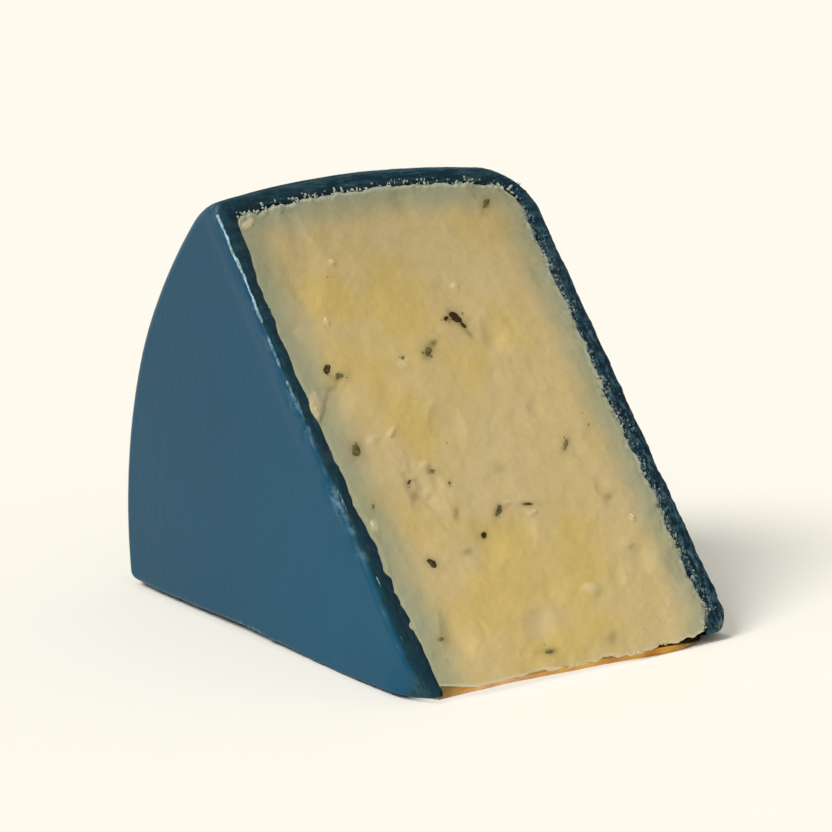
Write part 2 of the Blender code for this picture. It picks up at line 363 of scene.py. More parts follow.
def shoulders(inset):
    """How round the near and the far shoulder are, under a skin of this thickness."""
    return max(NEAR_SHOULDER - inset / 2, SMALLEST_SHOULDER), max(FAR_SHOULDER - inset, SMALLEST_SHOULDER)


def shoulder_drop(distance, rounding):
    """How much smaller the wheel's radius is, at a distance from the flat side."""
    if distance >= rounding:
        return 0.0
    return rounding - math.sqrt(rounding**2 - (rounding - distance) ** 2)


def skin_radius(across, inset):
    """The wheel's radius at this distance across, under a skin of this thickness."""
    near_round, far_round = shoulders(inset)
    near = max(0.0, across - inset)
    far = max(0.0, THICKNESS - inset - across)
    drop = shoulder_drop(near, near_round) + shoulder_drop(far, far_round)
    return rim_radius(across) - inset - drop


def rim_share(turn):
    """The share of the radius that is left at this turn from the lower cut."""
    above_table = max(0.0, 1 - abs(turn) / FLAT_SPOT_TURN)
    below_knife = max(0.0, 1 - max(0.0, WEDGE_TURN - turn) / KNIFE_TURN)
    depth = FLAT_SPOT_DEPTH * above_table**FLAT_SPOT_FADE + KNIFE_DEPTH * below_knife**2
    return 1 - depth / RIM_RADIUS


def in_wheel(radius, across, turn):
    """A point of the wheel, in the part's own frame."""
    return Vector((TIP_X - radius * math.cos(turn), NEAR_Y + across, radius * math.sin(turn)))


def near_boundary(up):
    """How far across the cheese starts at the upper cut."""
    return along(NEAR_WAX, up) + 0.00018 * ragged(up, 1) + 0.00030 * ripple(up, 0, 0.0065, 31)


def far_boundary(up):
    """How far across the cheese ends at the upper cut; the wax laps round it at the tip."""
    lap = FAR_LAP * (1 - smooth(0.0025, 0.0068, up))
    return THICKNESS - FAR_WAX - lap + 0.00045 * ragged(up, 3)


def top_wander(across):
    return 0.0003 * ragged(across, 2) + 0.0004 * ripple(0, across, 0.0034, 32)


def top_boundary(across):
    """How far up the cheese reaches at the upper cut."""
    return skin_radius(across, WAX) * rim_share(WEDGE_TURN) + top_wander(across)


# Meshes


def in_scene(name, data):
    """A new object of a mesh, a lamp or a camera, at the origin of the scene."""
    made = bpy.data.objects.new(name, data)
    bpy.context.scene.collection.objects.link(made)
    return made


def as_mesh(bm, name):
    mesh = bpy.data.meshes.new(name)
    bm.to_mesh(mesh)
    bm.free()
    return mesh


def finish_piece(bm, name):
    """Turns the faces outward and makes a smooth object of the mesh."""
    bmesh.ops.recalc_face_normals(bm, faces=bm.faces)
    mesh = as_mesh(bm, name)
    mesh.shade_smooth()
    return in_scene(name, mesh)


def loft(name, rings, marks):
    """A closed skin through rings of (point, marks), with a lid on the first and the last ring."""
    bm = bmesh.new()
    layers = [bm.verts.layers.float.new(mark) for mark in marks]
    rows = []
    for ring in rings:
        row = []
        for point, values in ring:
            vert = bm.verts.new(point)
            for layer, value in zip(layers, values):
                vert[layer] = value
            row.append(vert)
        rows.append(row)
    for row, following in zip(rows, rows[1:]):
        for index in range(len(row)):
            back = index - 1
            bm.faces.new((row[back], row[index], following[index], following[back]))
    lids = [bm.faces.new(rows[0]), bm.faces.new(list(reversed(rows[-1])))]
    bmesh.ops.triangulate(bm, faces=lids)
    return finish_piece(bm, name)


def dress(piece, material):
    """Gives the piece its material and says what it rides on."""
    piece.data.materials.clear()
    piece.data.materials.append(material)
    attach(piece, "root")
    return piece


# The cheese


def in_ellipse(up, across, spot):
    """The reach of a place in a spot (up, across, length, width, turn): 0 in its middle, 1 at its edge."""
    d_up, d_across = up - spot[0], across - spot[1]
    turn = math.radians(spot[4])
    lengthwise = d_up * math.cos(turn) + d_across * math.sin(turn)
    sideways = d_across * math.cos(turn) - d_up * math.sin(turn)
    return (2 * lengthwise / spot[2]) ** 2 + (2 * sideways / spot[3]) ** 2


def near_patch(up, across, patch):
    """The same in a patch (up, across, reach up, reach across)."""
    return ((up - patch[0]) / patch[2]) ** 2 + ((across - patch[1]) / patch[3]) ** 2


def edge_drop(distance, drop):
    depth, reach = drop
    return depth * (1 - smooth(0, reach, distance))


def to_line(up, across, line):
    """The distance from a place on the cut to a line through (up, across) points."""
    place = Vector((up, across))
    nearest = 1.0
    for start, end in zip(line, line[1:]):
        first, step = Vector(start), Vector(end) - Vector(start)
        share = clamp((place - first).dot(step) / step.length_squared)
        nearest = min(nearest, (place - first - step * share).length)
    return nearest


class CutFace:
    """The relief and the colour marks of the cheese's upper cut."""

    def __init__(self, look):
        self.look = look
        self.nearby = {}
        for kind, spots in (("fleck", FLECKS), ("lump", LUMPS), ("patch", CURD_PATCHES)):
            for spot in spots:
                reach = 2.2 * max(spot[2], spot[3])
                for square in self.squares(spot[0], spot[1], reach):
                    self.nearby.setdefault(square, []).append((kind, spot))

    @staticmethod
    def squares(up, across, reach):
        """The squares of the cut that a spot reaches."""
        rows, columns = (
            range(int((place - reach) / SPOT_SQUARE) - 1, int((place + reach) / SPOT_SQUARE) + 2)
            for place in (up, across)
        )
        return [(row, column) for row in rows for column in columns]

    def spots(self, up, across, kind):
        """The spots of one kind that may reach this place."""
        for found, spot in self.nearby.get((int(up / SPOT_SQUARE), int(across / SPOT_SQUARE)), ()):
            if found == kind:
                yield spot

    def lumps(self, up, across):
        """Each lump near this place, with the place's reach in it."""
        for spot in self.spots(up, across, "lump"):
            yield spot, in_ellipse(up, across, spot) * (1 + 0.5 * ripple(up, across, 0.0012, 7))

    def slow_relief(self, up, across):
        """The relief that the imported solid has: a wave, a grain and torn pits."""
        x, y = -up * math.cos(WEDGE_TURN), across
        wave = 0.00028 * noise.noise(Vector((x, y, 0)) / 0.011)
        grain = 0.00014 * noise.noise(Vector((x, y, 0)) / 0.0034 + Vector((7.3, 1.9, 4.1)))
        torn = noise.noise(Vector((x, y, 0)) / 0.0052 + Vector((2.7, 8.8, 5.5)))
        return wave + grain - 0.0006 * max(0.0, torn - 0.30) / 0.70

    def relief(self, up, across, to_wax):
        """Height over the knife's plane, with the distance to the wax on the far side and the top."""
        look = self.look
        smear = 0.00004 * ripple(up * 0.64 + across * 0.77, (up * 0.77 - across * 0.64) * 5, 0.009, 3)
        height = self.slow_relief(up, across) * look.waviness
        height += (layered(GRAIN, up, across) + smear) * look.grain
        torn = 1 - smooth(0.0002, 0.0026, to_wax)
        height += torn * layered(TORN, up, across) * look.crumbliness
        reach = near_patch(up, across, CRUMBLED)
        if reach < 1:
            height += (1 - reach) * layered(CRUMBLE, up, across) * look.crumbliness
        for spot, reach in self.lumps(up, across):
            height += look.lumpiness * spot[5] * (1 - smooth(0.1, 1.4, reach))
        return height - edge_drop(self.to_crack(up, across), (CRACK_DEPTH, CRACK_WIDTH))

    @staticmethod
    def to_crack(up, across):
        wander = 0.0006 * ripple(up, across, 0.0022, 9)
        return to_line(up + wander, across - wander, CRACK) + 0.0004 * smooth(0.055, 0.0600, up)

    def stain(self, up, across):
        """How much truffle shows through at this place."""
        total = 0.0
        for spot in self.spots(up, across, "fleck"):
            reach = in_ellipse(up, across, spot) * (1 + 0.7 * ripple(up, across, 0.0013, 8))
            total += spot[5] * (0.8 * math.exp(-reach * 1.1) + 0.28 * math.exp(-reach * 0.28))
        crack = math.exp(-((self.to_crack(up, across) / 0.0005) ** 2))
        faint = smooth(0.0590, 0.0535, up) if up < 0.0590 else 0.0
        return clamp(total + 0.30 * crack * faint)

    def yellowness(self, up, across):
        total = 0.0
        for spot in self.spots(up, across, "patch"):
            total += spot[4] * math.exp(-near_patch(up, across, spot) * 1.2)
        return clamp(0.5 + 0.5 * total)

    def paleness(self, up, across):
        return clamp(sum(1 - smooth(0.5, 1.3, reach) for _, reach in self.lumps(up, across)))


def cheese_top(cut, share_across, share_up):
    """A point of the upper cut and its marks: rind, torn, yellow, stain, pale, lip, shade."""
    up = share_up * RIM_RADIUS
    for _ in range(2):  # the sides of the cut depend on how far up the point is, and that on them
        near = near_boundary(up) - PAPER_THIN
        far = far_boundary(up) + PAPER_THIN
        across = mix(near, far, share_across)
        jagged = 0.00030 * ragged(across, 4, 0.0020) * smooth(0.008, 0.040, across)
        lowest = (along(LIP_HEIGHT, across) + jagged) / math.sin(WEDGE_TURN)
        top = top_boundary(across) + PAPER_THIN
        up = mix(lowest, top, share_up)
    to_wax = min(far - across, top - up)
    height = cut.relief(up, across, to_wax)
    for distance, drop in ((across - near, NEAR_DROP), (to_wax, WAX_DROP), (up - lowest, LIP_DROP)):
        height -= edge_drop(distance, drop)
    point = in_wheel(up, across, WEDGE_TURN) + CUT_NORMAL * height
    point.x = min(point.x, TIP_X - TIP_BLUNTING - 0.00005 - 0.00004 * (1 + ragged(across, 5, 0.002)))
    rind = min(across - near, to_wax)
    torn = 1 - smooth(0.0003, 0.0016, to_wax)
    lip = 1 - smooth(0.0001, 0.0006, up - lowest)
    yellow = cut.yellowness(up, across)
    return point, (rind, torn, yellow, cut.stain(up, across), cut.paleness(up, across), lip, 0.0)


def hidden_marks(shade):
    """The same marks for a place behind the wax, under the wedge or in the shade below the lip."""
    return 0.004, 0.0, 0.5, 0.0, 0.0, 0.0, shade


def cheese_ring(cut, share_across, ups):
    """One ring: up the cut, down behind the rim's wax, back along the table and up the tip."""
    ring = [cheese_top(cut, share_across, share) for share in ups]
    lowest, highest = ring[0][0], ring[-1][0]
    across = clamp(highest.y - NEAR_Y, WAX, THICKNESS - WAX)
    for step in range(1, CHEESE_RIM_STEPS + 1):
        turn = WEDGE_TURN * (1 - step / CHEESE_RIM_STEPS)
        point = in_wheel(skin_radius(across, WAX) * rim_share(turn) + PAPER_THIN, across, turn)
        point.y = mix(highest.y, NEAR_Y + across, min(1, step / 2))
        ring.append((point, hidden_marks(0.0)))
    foot_rim = ring[-1][0]
    recess = along(TIP_RECESS, lowest.y - NEAR_Y)
    foot_tip = Vector((TIP_X - recess - CHEESE_BEHIND_FILM, lowest.y, 0))
    for step in range(1, CHEESE_FOOT_STEPS):
        ring.append((foot_rim.lerp(foot_tip, step / CHEESE_FOOT_STEPS), hidden_marks(0.0)))
    # Painted shade: through the shade mark, the hollow under the lip is coloured near-black.
    shaded_hollow = smooth(*HOLLOW_ACROSS, lowest.y - NEAR_Y)
    for step in range(CHEESE_TIP_STEPS):
        share = step / CHEESE_TIP_STEPS
        place = foot_tip.lerp(lowest, share)
        place.x -= mix(*HOLLOW_DEPTH, shaded_hollow) * smooth(0, 0.3, share) * (1 - smooth(0.8, 1.0, share))
        ring.append((place, hidden_marks(shaded_hollow)))
    return ring


def tucked(ring, y):
    """The same ring, flat and a little smaller, so that the lid on it stays hidden in the wax."""
    middle = sum((point for point, _ in ring), Vector()) / len(ring)
    smaller = []
    for point, marks in ring:
        place = middle.lerp(point, LID_SIZE)
        place.y = y
        smaller.append((place, marks))
    return smaller


def make_cheese(look):
    cut = CutFace(look)
    ups = even_ends(CHEESE_UP_STEPS)
    shares = even_ends(CHEESE_ACROSS_STEPS)
    rings = [cheese_ring(cut, share, ups) for share in shares]
    rings.insert(0, tucked(rings[0], NEAR_Y + LID_DEPTH))
    rings.append(tucked(rings[-1], NEAR_Y + THICKNESS - LID_DEPTH))
    return loft("cheese_paste", rings, ("rind", "torn", "yellow", "stain", "pale", "lip", "shade"))


def even_ends(steps):
    """Shares from 0 to 1, a little closer together at both ends."""
    shares = []
    for step in range(steps + 1):
        even = step / steps
        shares.append(mix(even, 0.5 - 0.5 * math.cos(math.pi * even), END_CROWDING))
    return shares


# The wax


def corner_arc(middle, rounding, start):
    """Points (radius, across) of a quarter turn round a middle, from a start in degrees."""
    points = []
    for step in range(CORNER_STEPS + 1):
        angle = math.radians(start + 90 * step / CORNER_STEPS)
        radius = middle[0] + rounding[0] * math.cos(angle)
        points.append((radius, middle[1] + rounding[1] * math.sin(angle)))
    return points


def skin_line(inset, near_tip, far_tip):
    """A dense line (radius, across) from the near tip over the rim to the far tip."""
    near, far = inset, THICKNESS - inset
    line = corner_arc((near_tip[0], near + near_tip[1]), near_tip, 180)
    for step in range(OUTLINE_STEPS + 1):
        across = mix(near, far, 0.5 - 0.5 * math.cos(math.pi * step / OUTLINE_STEPS))
        line.append((skin_radius(across, inset), across))
    line += corner_arc((far_tip[0], far - far_tip[1]), far_tip, 90)
    return [place for place in line if place[0] >= 0.0]


def corners_of(inset):
    """How far across the middles of the two shoulders lie."""
    near_round, far_round = shoulders(inset)
    return inset + SHOULDER_MIDDLE * near_round, THICKNESS - inset - SHOULDER_MIDDLE * far_round


def spaced(line, steps):
    """Points at even distances along a line."""
    lengths = [0.0]
    for start, end in zip(line, line[1:]):
        lengths.append(lengths[-1] + math.dist(start, end))
    found, index = [], 0
    for step in range(steps + 1):
        goal = lengths[-1] * step / steps
        while index < len(line) - 2 and lengths[index + 1] < goal:
            index += 1
        share = (goal - lengths[index]) / max(lengths[index + 1] - lengths[index], 1e-9)
        (r0, a0), (r1, a1) = line[index], line[index + 1]
        found.append((mix(r0, r1, clamp(share)), mix(a0, a1, clamp(share))))
    return found


def in_three_runs(line, inset, counts):
    """The line's near side, rim and far side, each in its own number of even steps."""
    near_corner, far_corner = corners_of(inset)
    on_rim = []
    for index, (radius, across) in enumerate(line):
        if radius > RIM_RADIUS / 2 and near_corner <= across <= far_corner:
            on_rim.append(index)
    first, last = on_rim[0], on_rim[-1]
    runs = (line[: first + 1], line[first : last + 1], line[last:])
    points = []
    for run, count in zip(runs, counts):
        points += spaced(run, count)[1 if points else 0 :]
    return points


def round_edge(depth, inward, rounding):
    """Moves a place near a sharp edge onto a rounded one. Both distances are from its two faces."""
    if depth >= rounding or inward >= rounding:
        return depth, inward
    x, y = rounding - depth, rounding - inward
    scale = max(x, y) / math.hypot(x, y)
    return rounding - x * scale, rounding - y * scale


def nose(turn, rounding):
    """How far from the tip's line a rounded nose lies that touches both cuts."""
    half = WEDGE_TURN / 2
    middle = rounding / math.sin(half)
    aside = turn - half
    return middle * math.cos(aside) - math.sqrt(max(0.0, rounding**2 - (middle * math.sin(aside)) ** 2))


def off_tip(radius, turn, rounding):
    """How far from the tip's line a place of the wheel lies in the wedge, whose tip is rounded."""
    return nose(turn, rounding) * (1 - smooth(0, TIP_FADE, radius)) + radius * rim_share(turn)


class WaxPlace:
    """A place in the wax coat, and all that its shape and its marks depend on.

    It lies at a share of the wax's thickness, 0 outside and 1 at the cheese, and at a lift.
    """

    def __init__(self, outer, inner, share, lift):
        r_out, a_out = outer
        r_in, a_in = inner
        near_half = a_out < THICKNESS / 2
        nose_radius = NEAR_NOSE if near_half else FAR_NOSE
        self.rim = clamp((r_out - r_in) / max(math.hypot(r_out - r_in, a_out - a_in), 1e-6))
        self.near = 1 - self.rim if near_half else 0.0
        self.far = 0.0 if near_half else 1 - self.rim
        self.rough = clamp(0.12 * self.near + 0.4 * self.rim + 1.0 * self.far)
        self.share = share
        self.lift = lift
        self.turn = lift * WEDGE_TURN
        self.up = r_out * rim_share(WEDGE_TURN)

        to_cut = max(r_out, TIP_BLUNTING) * math.sin(WEDGE_TURN - self.turn)
        by_cut = 1 - smooth(0.0004, 0.004, to_cut)
        inner_up = off_tip(r_in, WEDGE_TURN, nose_radius)
        wander = self.near * (near_boundary(inner_up) - a_in) + self.far * (far_boundary(inner_up) - a_in)
        a_in += wander * by_cut
        r_in += self.rim * by_cut * top_wander(a_in)
        self.radius = off_tip(mix(r_out, r_in, share), self.turn, nose_radius)
        self.across = mix(a_out, a_in, share) + self.face_dip(to_cut)
        self.depth = self.radius * math.sin(WEDGE_TURN - self.turn)
        self.inward = share * math.hypot(r_out - r_in, a_out - a_in)
        thinner = r_in - r_out
        way_in = Vector((-thinner * math.cos(self.turn), a_in - a_out, thinner * math.sin(self.turn)))
        self.way_in = way_in.normalized()
        scuff_start, scuff_end = smooth(0.038, 0.042, self.radius), smooth(0.052, 0.056, self.radius)
        self.scuffed = scuff_start * (1 - scuff_end) * self.near

    def face_dip(self, to_cut):
        """How far the near face lies in: less where it flares out under the knife, more at a notch."""
        flare = smooth(0.036, 0.056, self.up) * (1 - smooth(0.0006, 0.0050, to_cut))
        notch = smooth(-0.3, 0.8, ragged(self.up, 15, 0.0055)) * smooth(0.02, 0.04, self.up)
        notch *= 1 - smooth(0.0, 0.0026, to_cut)
        return self.near * (1 - self.share) * (FACE_INSET * (1 - flare) + NOTCH_DEPTH * notch)

    def rounded(self):
        """The place's point, once the wax's edges at the upper cut and at the foot are round."""
        largest = max(0.0006, self.radius * math.sin(WEDGE_TURN) * 0.45)
        at_cut = self.near * along(NEAR_ROUNDING, self.up)
        at_cut += self.rim * RIM_ROUNDING + self.far * FAR_ROUNDING
        at_foot = mix(FOOT_ROUNDING, RIM_FOOT_ROUNDING, self.rim)
        height = self.radius * math.sin(self.turn)
        point = in_wheel(self.radius, self.across, self.turn)
        for distance, way, rounding in ((self.depth, -CUT_NORMAL, at_cut), (height, UPWARD, at_foot)):
            new_distance, new_inward = round_edge(distance, self.inward, min(rounding, largest))
            point += way * (new_distance - distance)
            point += self.way_in * (new_inward - self.inward)
        return point

    def over_table(self):
        """How far the foot of the wax stands off the table here."""
        undercut = 1 - smooth(0.2, 0.6, self.share) * smooth(0.004, 0.012, self.radius)
        gap = along(FOOT_GAP, self.radius) * (1 - smooth(0.004, 0.018, self.across)) * undercut
        gap += FAR_FOOT_GAP * self.far * (1 - smooth(0.003, 0.017, self.radius))
        gap += 0.00008 * ragged(self.up, 7) + 0.00022 * self.scuffed * ragged(self.up, 8, 0.0010)
        return WAX_OVER_TABLE + max(0, gap)

    def cut_relief(self, crumbliness):
        """Height of the cut wax over the knife's plane."""
        up, across = self.up, self.across
        slow = 0.00022 * noise.noise(Vector((up, across, 0.003)) / 0.0045)
        drag = 0.00010 * ripple(up * 0.5, across, 0.0011, 11)
        torn = 0.00034 * ripple(up * 0.35, across, 0.0011, 12)
        torn += 0.00020 * ripple(up * 0.6, across, 0.0006, 13)
        groove = 0.00030 * smooth(0.72, 1.0, self.share) * mix(1.0, 0.35, self.near)
        crest = 0.00020 * math.exp(-(((self.share - 0.35) / 0.25) ** 2))
        on_cut = (1 - smooth(0.0001, 0.0012, self.depth)) * smooth(0.0, 0.004, self.up)
        return (slow + drag + torn * self.rough * crumbliness - groove + crest) * on_cut

    def skin_relief(self, creases):
        """Shallow creases round the rim and soft dents in the flat sides, always inward."""
        length = self.turn * RIM_RADIUS
        crease = ripple(length * 0.16, self.across, 0.0055, 21)
        dent = ripple(length, self.across, 0.019, 22)
        wrinkle = ripple(length, self.across * 0.5, 0.0018, 24)
        depth = creases * self.rim * (0.6 + 0.5 * abs(crease) + 0.5 * dent)
        depth += 0.00005 * self.rim * (wrinkle + 1)
        inward = Vector((math.cos(self.turn), 0, -math.sin(self.turn))) * max(0.0, depth)
        x, z = self.radius * math.cos(self.turn), self.radius * math.sin(self.turn)
        wave = 0.00012 * (1 + ripple(x, z, 0.022, 23))
        side = 1 if self.across < THICKNESS / 2 else -1
        inward.y = side * wave * (1 - self.rim)
        return inward * (1 - self.share)

    def marks(self):
        """How far the place is cut, whitened, close under the knife, rim, torn, and by the cheese."""
        up, near, rim, far = self.up, self.near, self.rim, self.far
        inward = mix(self.inward, self.across, near)
        depth = self.depth * smooth(0.002, 0.008, up)
        edge = near * along(FACE_EDGE, up) + rim * 0.0003 + far * 0.0002
        edge += 0.00025 * ragged(up, 9) * near
        on_top = 1 - smooth(0.0010, 0.0016, depth)
        cut = smooth(edge - 0.0002, edge + 0.0003, inward) * on_top
        cut = max(cut, far * (1 - smooth(0.004, 0.009, up)))
        at_foot = clamp(1.4 - self.lift * 60)
        pale = self.scuffed * at_foot * smooth(0.0, 0.5, ragged(up, 8, 0.0010))
        smeared = smooth(-0.1, 0.6, ragged(up, 14, 0.0034)) * math.exp(-(((inward - edge) / 0.0005) ** 2))
        pale += 0.30 * smeared * near * on_top * smooth(0.012, 0.035, up)
        under_knife = (1 - smooth(0.001, 0.0065, depth)) * smooth(0.03, 0.075, up) * (1 - rim)
        return cut, pale, under_knife, rim, self.rough, self.share


class WaxCoat:
    """The wax coat's outer and inner outline, in steps that match, and the points of its skin."""

    def __init__(self, look):
        self.look = look
        steps = (WAX_SIDE_STEPS, WAX_RIM_STEPS, WAX_SIDE_STEPS)
        self.outer = in_three_runs(skin_line(0.0, NEAR_TIP_ROUNDING, FAR_TIP_ROUNDING), 0.0, steps)
        self.inner = in_three_runs(skin_line(WAX, SHARP, SHARP), WAX, steps)

    def point(self, index, share, lift):
        """A point of the skin and its marks."""
        place = WaxPlace(self.outer[index], self.inner[index], share, lift)
        point = place.rounded()
        fade = min(GAP_FADE, place.radius * math.sin(WEDGE_TURN))
        point.z += place.over_table() * max(0, 1 - point.z / fade)
        point += CUT_NORMAL * place.cut_relief(self.look.crumbliness)
        point += place.skin_relief(self.look.creases)
        point.x = min(point.x, TIP_X - TIP_BLUNTING - 0.00003)
        return point, place.marks()


def wax_lifts():
    """Shares of the turn, crowded towards both cuts."""
    reach, gap, growth = FINE_LIFTS
    lifts, place = [], 0.0
    while place < reach:
        lifts.insert(0, 1 - place)
        place += gap
        gap *= growth
    while lifts[0] > 0.045:
        lifts.insert(0, lifts[0] - SIDE_LIFT)
    return FOOT_LIFTS + [lift for lift in lifts if lift > 0.03]


def make_wax(look):
    coat = WaxCoat(look)
    lifts = wax_lifts()
    route = [(0.0, lift) for lift in lifts]
    route += [(step / WAX_CUT_STEPS, 1.0) for step in range(1, WAX_CUT_STEPS)]
    route += [(1.0, lift) for lift in reversed(lifts[::4])]
    route += [(share, 0.0) for share in FOOT_SHARES]
    rings = []
    for index in range(len(coat.outer)):
        rings.append([coat.point(index, share, lift) for share, lift in route])
    return loft("wax_shell", rings, ("cut", "pale", "edge", "rim", "rough", "inner"))


# Grains and crumbs by Geometry Nodes


class Tree:
    """A Geometry Nodes tree in the making, for grains, crumbs or a bead with an uneven surface."""

    def __init__(self, name, inputs):
        self.group = bpy.data.node_groups.new(name, "GeometryNodeTree")
        face = self.group.interface
        face.new_socket("Geometry", in_out="INPUT", socket_type="NodeSocketGeometry")
        shared = (("Unevenness", "Float"), ("Lump Size", "Float"), ("Material", "Material"))
        for label, kind in inputs + shared:
            face.new_socket(label, in_out="INPUT", socket_type="NodeSocket" + kind)
        face.new_socket("Geometry", in_out="OUTPUT", socket_type="NodeSocketGeometry")
        self.start = self.group.nodes.new("NodeGroupInput")

    def given(self, label):
        return self.start.outputs[label]

    def node(self, kind, settings=None, sockets=None, out=0):
        """Adds a node, sets it, feeds its sockets and returns one of its outputs."""
        made = self.group.nodes.new(kind)
        for setting, value in (settings or {}).items():
            setattr(made, setting, value)
        for key, value in (sockets or {}).items():
            if isinstance(value, bpy.types.NodeSocket):
                self.group.links.new(value, made.inputs[key])
            else:
                made.inputs[key].default_value = value
        return made.outputs[out]

    def maths(self, operation, first, second):
        return self.node("ShaderNodeMath", {"operation": operation}, {0: first, 1: second})

    def stored(self, label, kind="FLOAT"):
        """An attribute of the mesh that the tree is given."""
        return self.node("GeometryNodeInputNamedAttribute", {"data_type": kind}, {0: label})

    def scaled(self, vector, factor):
        return self.node("ShaderNodeVectorMath", {"operation": "SCALE"}, {0: vector, 3: factor})

    def drawn(self, low, high, seed):
        """Random vectors between two corners, or random numbers between two sockets' values."""
        kind = "FunctionNodeRandomValue"
        if isinstance(low, tuple):
            return self.node(kind, {"data_type": "FLOAT_VECTOR"}, {0: low, 1: high, 8: seed})
        return self.node(kind, {"data_type": "FLOAT"}, {2: low, 3: high, 8: seed}, out=1)

    def sown(self, points, turn, size, fineness):
        """A pebble on each point, all of them made one mesh."""
        ball = self.node("GeometryNodeMeshIcoSphere", {}, {0: 0.5, 1: fineness})
        turned = self.node("FunctionNodeEulerToRotation", {}, {0: turn})
        sockets = {0: points, 2: ball, 5: turned, 6: size}
        placed = self.node("GeometryNodeInstanceOnPoints", {}, sockets)
        return self.node("GeometryNodeRealizeInstances", {}, {0: placed})

    def close(self, geometry, smooth_faces):
        """Makes the surface uneven by noise, so that no two grains are alike, and ends the tree."""
        place = self.node("GeometryNodeInputPosition")
        scale = self.maths("DIVIDE", 1.0, self.given("Lump Size"))
        cloud = self.node("ShaderNodeTexNoise", {}, {0: place, 2: scale, 3: 1.0}, out=1)
        middle = (0.5, 0.5, 0.5)
        centred = self.node("ShaderNodeVectorMath", {"operation": "SUBTRACT"}, {0: cloud, 1: middle})
        push = self.scaled(centred, self.given("Unevenness"))
        moved = self.node("GeometryNodeSetPosition", {}, {0: geometry, 3: push})
        shaded = self.node("GeometryNodeSetShadeSmooth", {}, {0: moved, 2: smooth_faces})
        real = self.node("GeometryNodeRealizeInstances", {}, {0: shaded})
        painted = self.node("GeometryNodeSetMaterial", {}, {0: real, 2: self.given("Material")})
        finish = self.group.nodes.new("NodeGroupOutput")
        self.group.links.new(painted, finish.inputs[0])
        return self.group


def run_tree(name, source, group, values):
    """Runs a tree on a mesh and returns the result as a plain object."""
    worker = in_scene(name + "_source", source)
    modifier = worker.modifiers.new("nodes", "NODES")
    modifier.node_group = group
    inputs = [item for item in group.interface.items_tree if item.in_out == "INPUT"]
    sockets = {item.name: item.identifier for item in inputs}
    for label, value in values.items():
        modifier[sockets[label]] = value
    graph = bpy.context.evaluated_depsgraph_get()
    mesh = bpy.data.meshes.new_from_object(worker.evaluated_get(graph))
    mesh.name = name
    bpy.data.objects.remove(worker)
    return in_scene(name, mesh)


def grain_tree():
    """Puts an uneven pebble on each point, turned and sized by the point's own attributes."""
    tree = Tree("grains", (("Fineness", "Int"),))
    size, turn = tree.stored("size", "FLOAT_VECTOR"), tree.stored("turn", "FLOAT_VECTOR")
    return tree.close(tree.sown(tree.given("Geometry"), turn, size, tree.given("Fineness")), True)


def crumb_tree():
    """Scatters small angular crumbs over a strip, thickest where its density is highest."""
    number = "Crumbs per Square Metre"
    tree = Tree("crumbs", ((number, "Float"), ("Smallest", "Float"), ("Largest", "Float"), ("Seed", "Int")))
    density = tree.maths("MULTIPLY", tree.stored("density"), tree.given(number))
    sockets = {"Mesh": tree.given("Geometry"), "Density": density, "Seed": tree.given("Seed")}
    points = tree.node("GeometryNodeDistributePointsOnFaces", {"distribute_method": "RANDOM"}, sockets)
    turn = tree.drawn((0, 0, 0), (math.tau, math.tau, math.tau), 3)
    size = tree.drawn(tree.given("Smallest"), tree.given("Largest"), 4)
    stretch = tree.drawn((0.6, 0.5, 0.4), (2.0, 1.1, 0.8), 5)
    return tree.close(tree.sown(points, turn, tree.scaled(stretch, size), 1), False)


def burr_tree():
    """Turns a broken line into a thin ragged bead as thick as the line's own attribute says."""
    tree = Tree("burr", (("Sides", "Int"),))
    line = tree.node("GeometryNodeMeshToCurve", {}, {0: tree.given("Geometry")})
    circle = tree.node("GeometryNodeCurvePrimitiveCircle", {}, {0: tree.given("Sides"), 4: 1.0})
    sockets = {"Curve": line, "Profile Curve": circle, "Scale": tree.stored("thick"), "Fill Caps": True}
    return tree.close(tree.node("GeometryNodeCurveToMesh", {}, sockets), True)


def line_work(name, points, edges, numbers, vectors=()):
    """A mesh of points and edges that carries (name, values) attributes of numbers and vectors."""
    mesh = bpy.data.meshes.new(name)
    mesh.from_pydata(points, edges, [])
    for label, values in numbers:
        mesh.attributes.new(label, "FLOAT", "POINT").data.foreach_set("value", values)
    for label, values in vectors:
        flat = [number for vector in values for number in vector]
        mesh.attributes.new(label, "FLOAT_VECTOR", "POINT").data.foreach_set("vector", flat)
    return mesh


def make_grains(name, grains, fineness, unevenness, material):
    """An uneven pebble for each grain (place, size, turn, tone)."""
    places, sizes, turns, tones = zip(*grains)
    vectors = (("size", sizes), ("turn", turns))
    source = line_work(name + "_points", places, [], [("tone", tones)], vectors)
    values = {"Fineness": fineness, "Unevenness": unevenness, "Lump Size": GRAIN_LUMPS, "Material": material}
    return run_tree(name, source, grain_tree(), values)


def lying_on_cut(turn):
    """The Euler angles of a thing that lies flat on the cut, its length at this turn from up."""
    lean = Matrix.Rotation(WEDGE_TURN, 3, "Y")
    return (lean @ Matrix.Rotation(math.pi - turn, 3, "Z")).to_euler()


def on_cut(cut, up, across, sunk):
    """A point this far under the cheese's upper cut."""
    return in_wheel(up, across, WEDGE_TURN) + CUT_NORMAL * (cut.relief(up, across, 0.01) - sunk)


def in_cheese(rng, margin):
    """A random place on the cut, clear of the wax."""
    up = rng.uniform(0.004, 0.088)
    across = rng.uniform(along(NEAR_WAX, up) + margin, THICKNESS - FAR_WAX - margin)
    return up, across


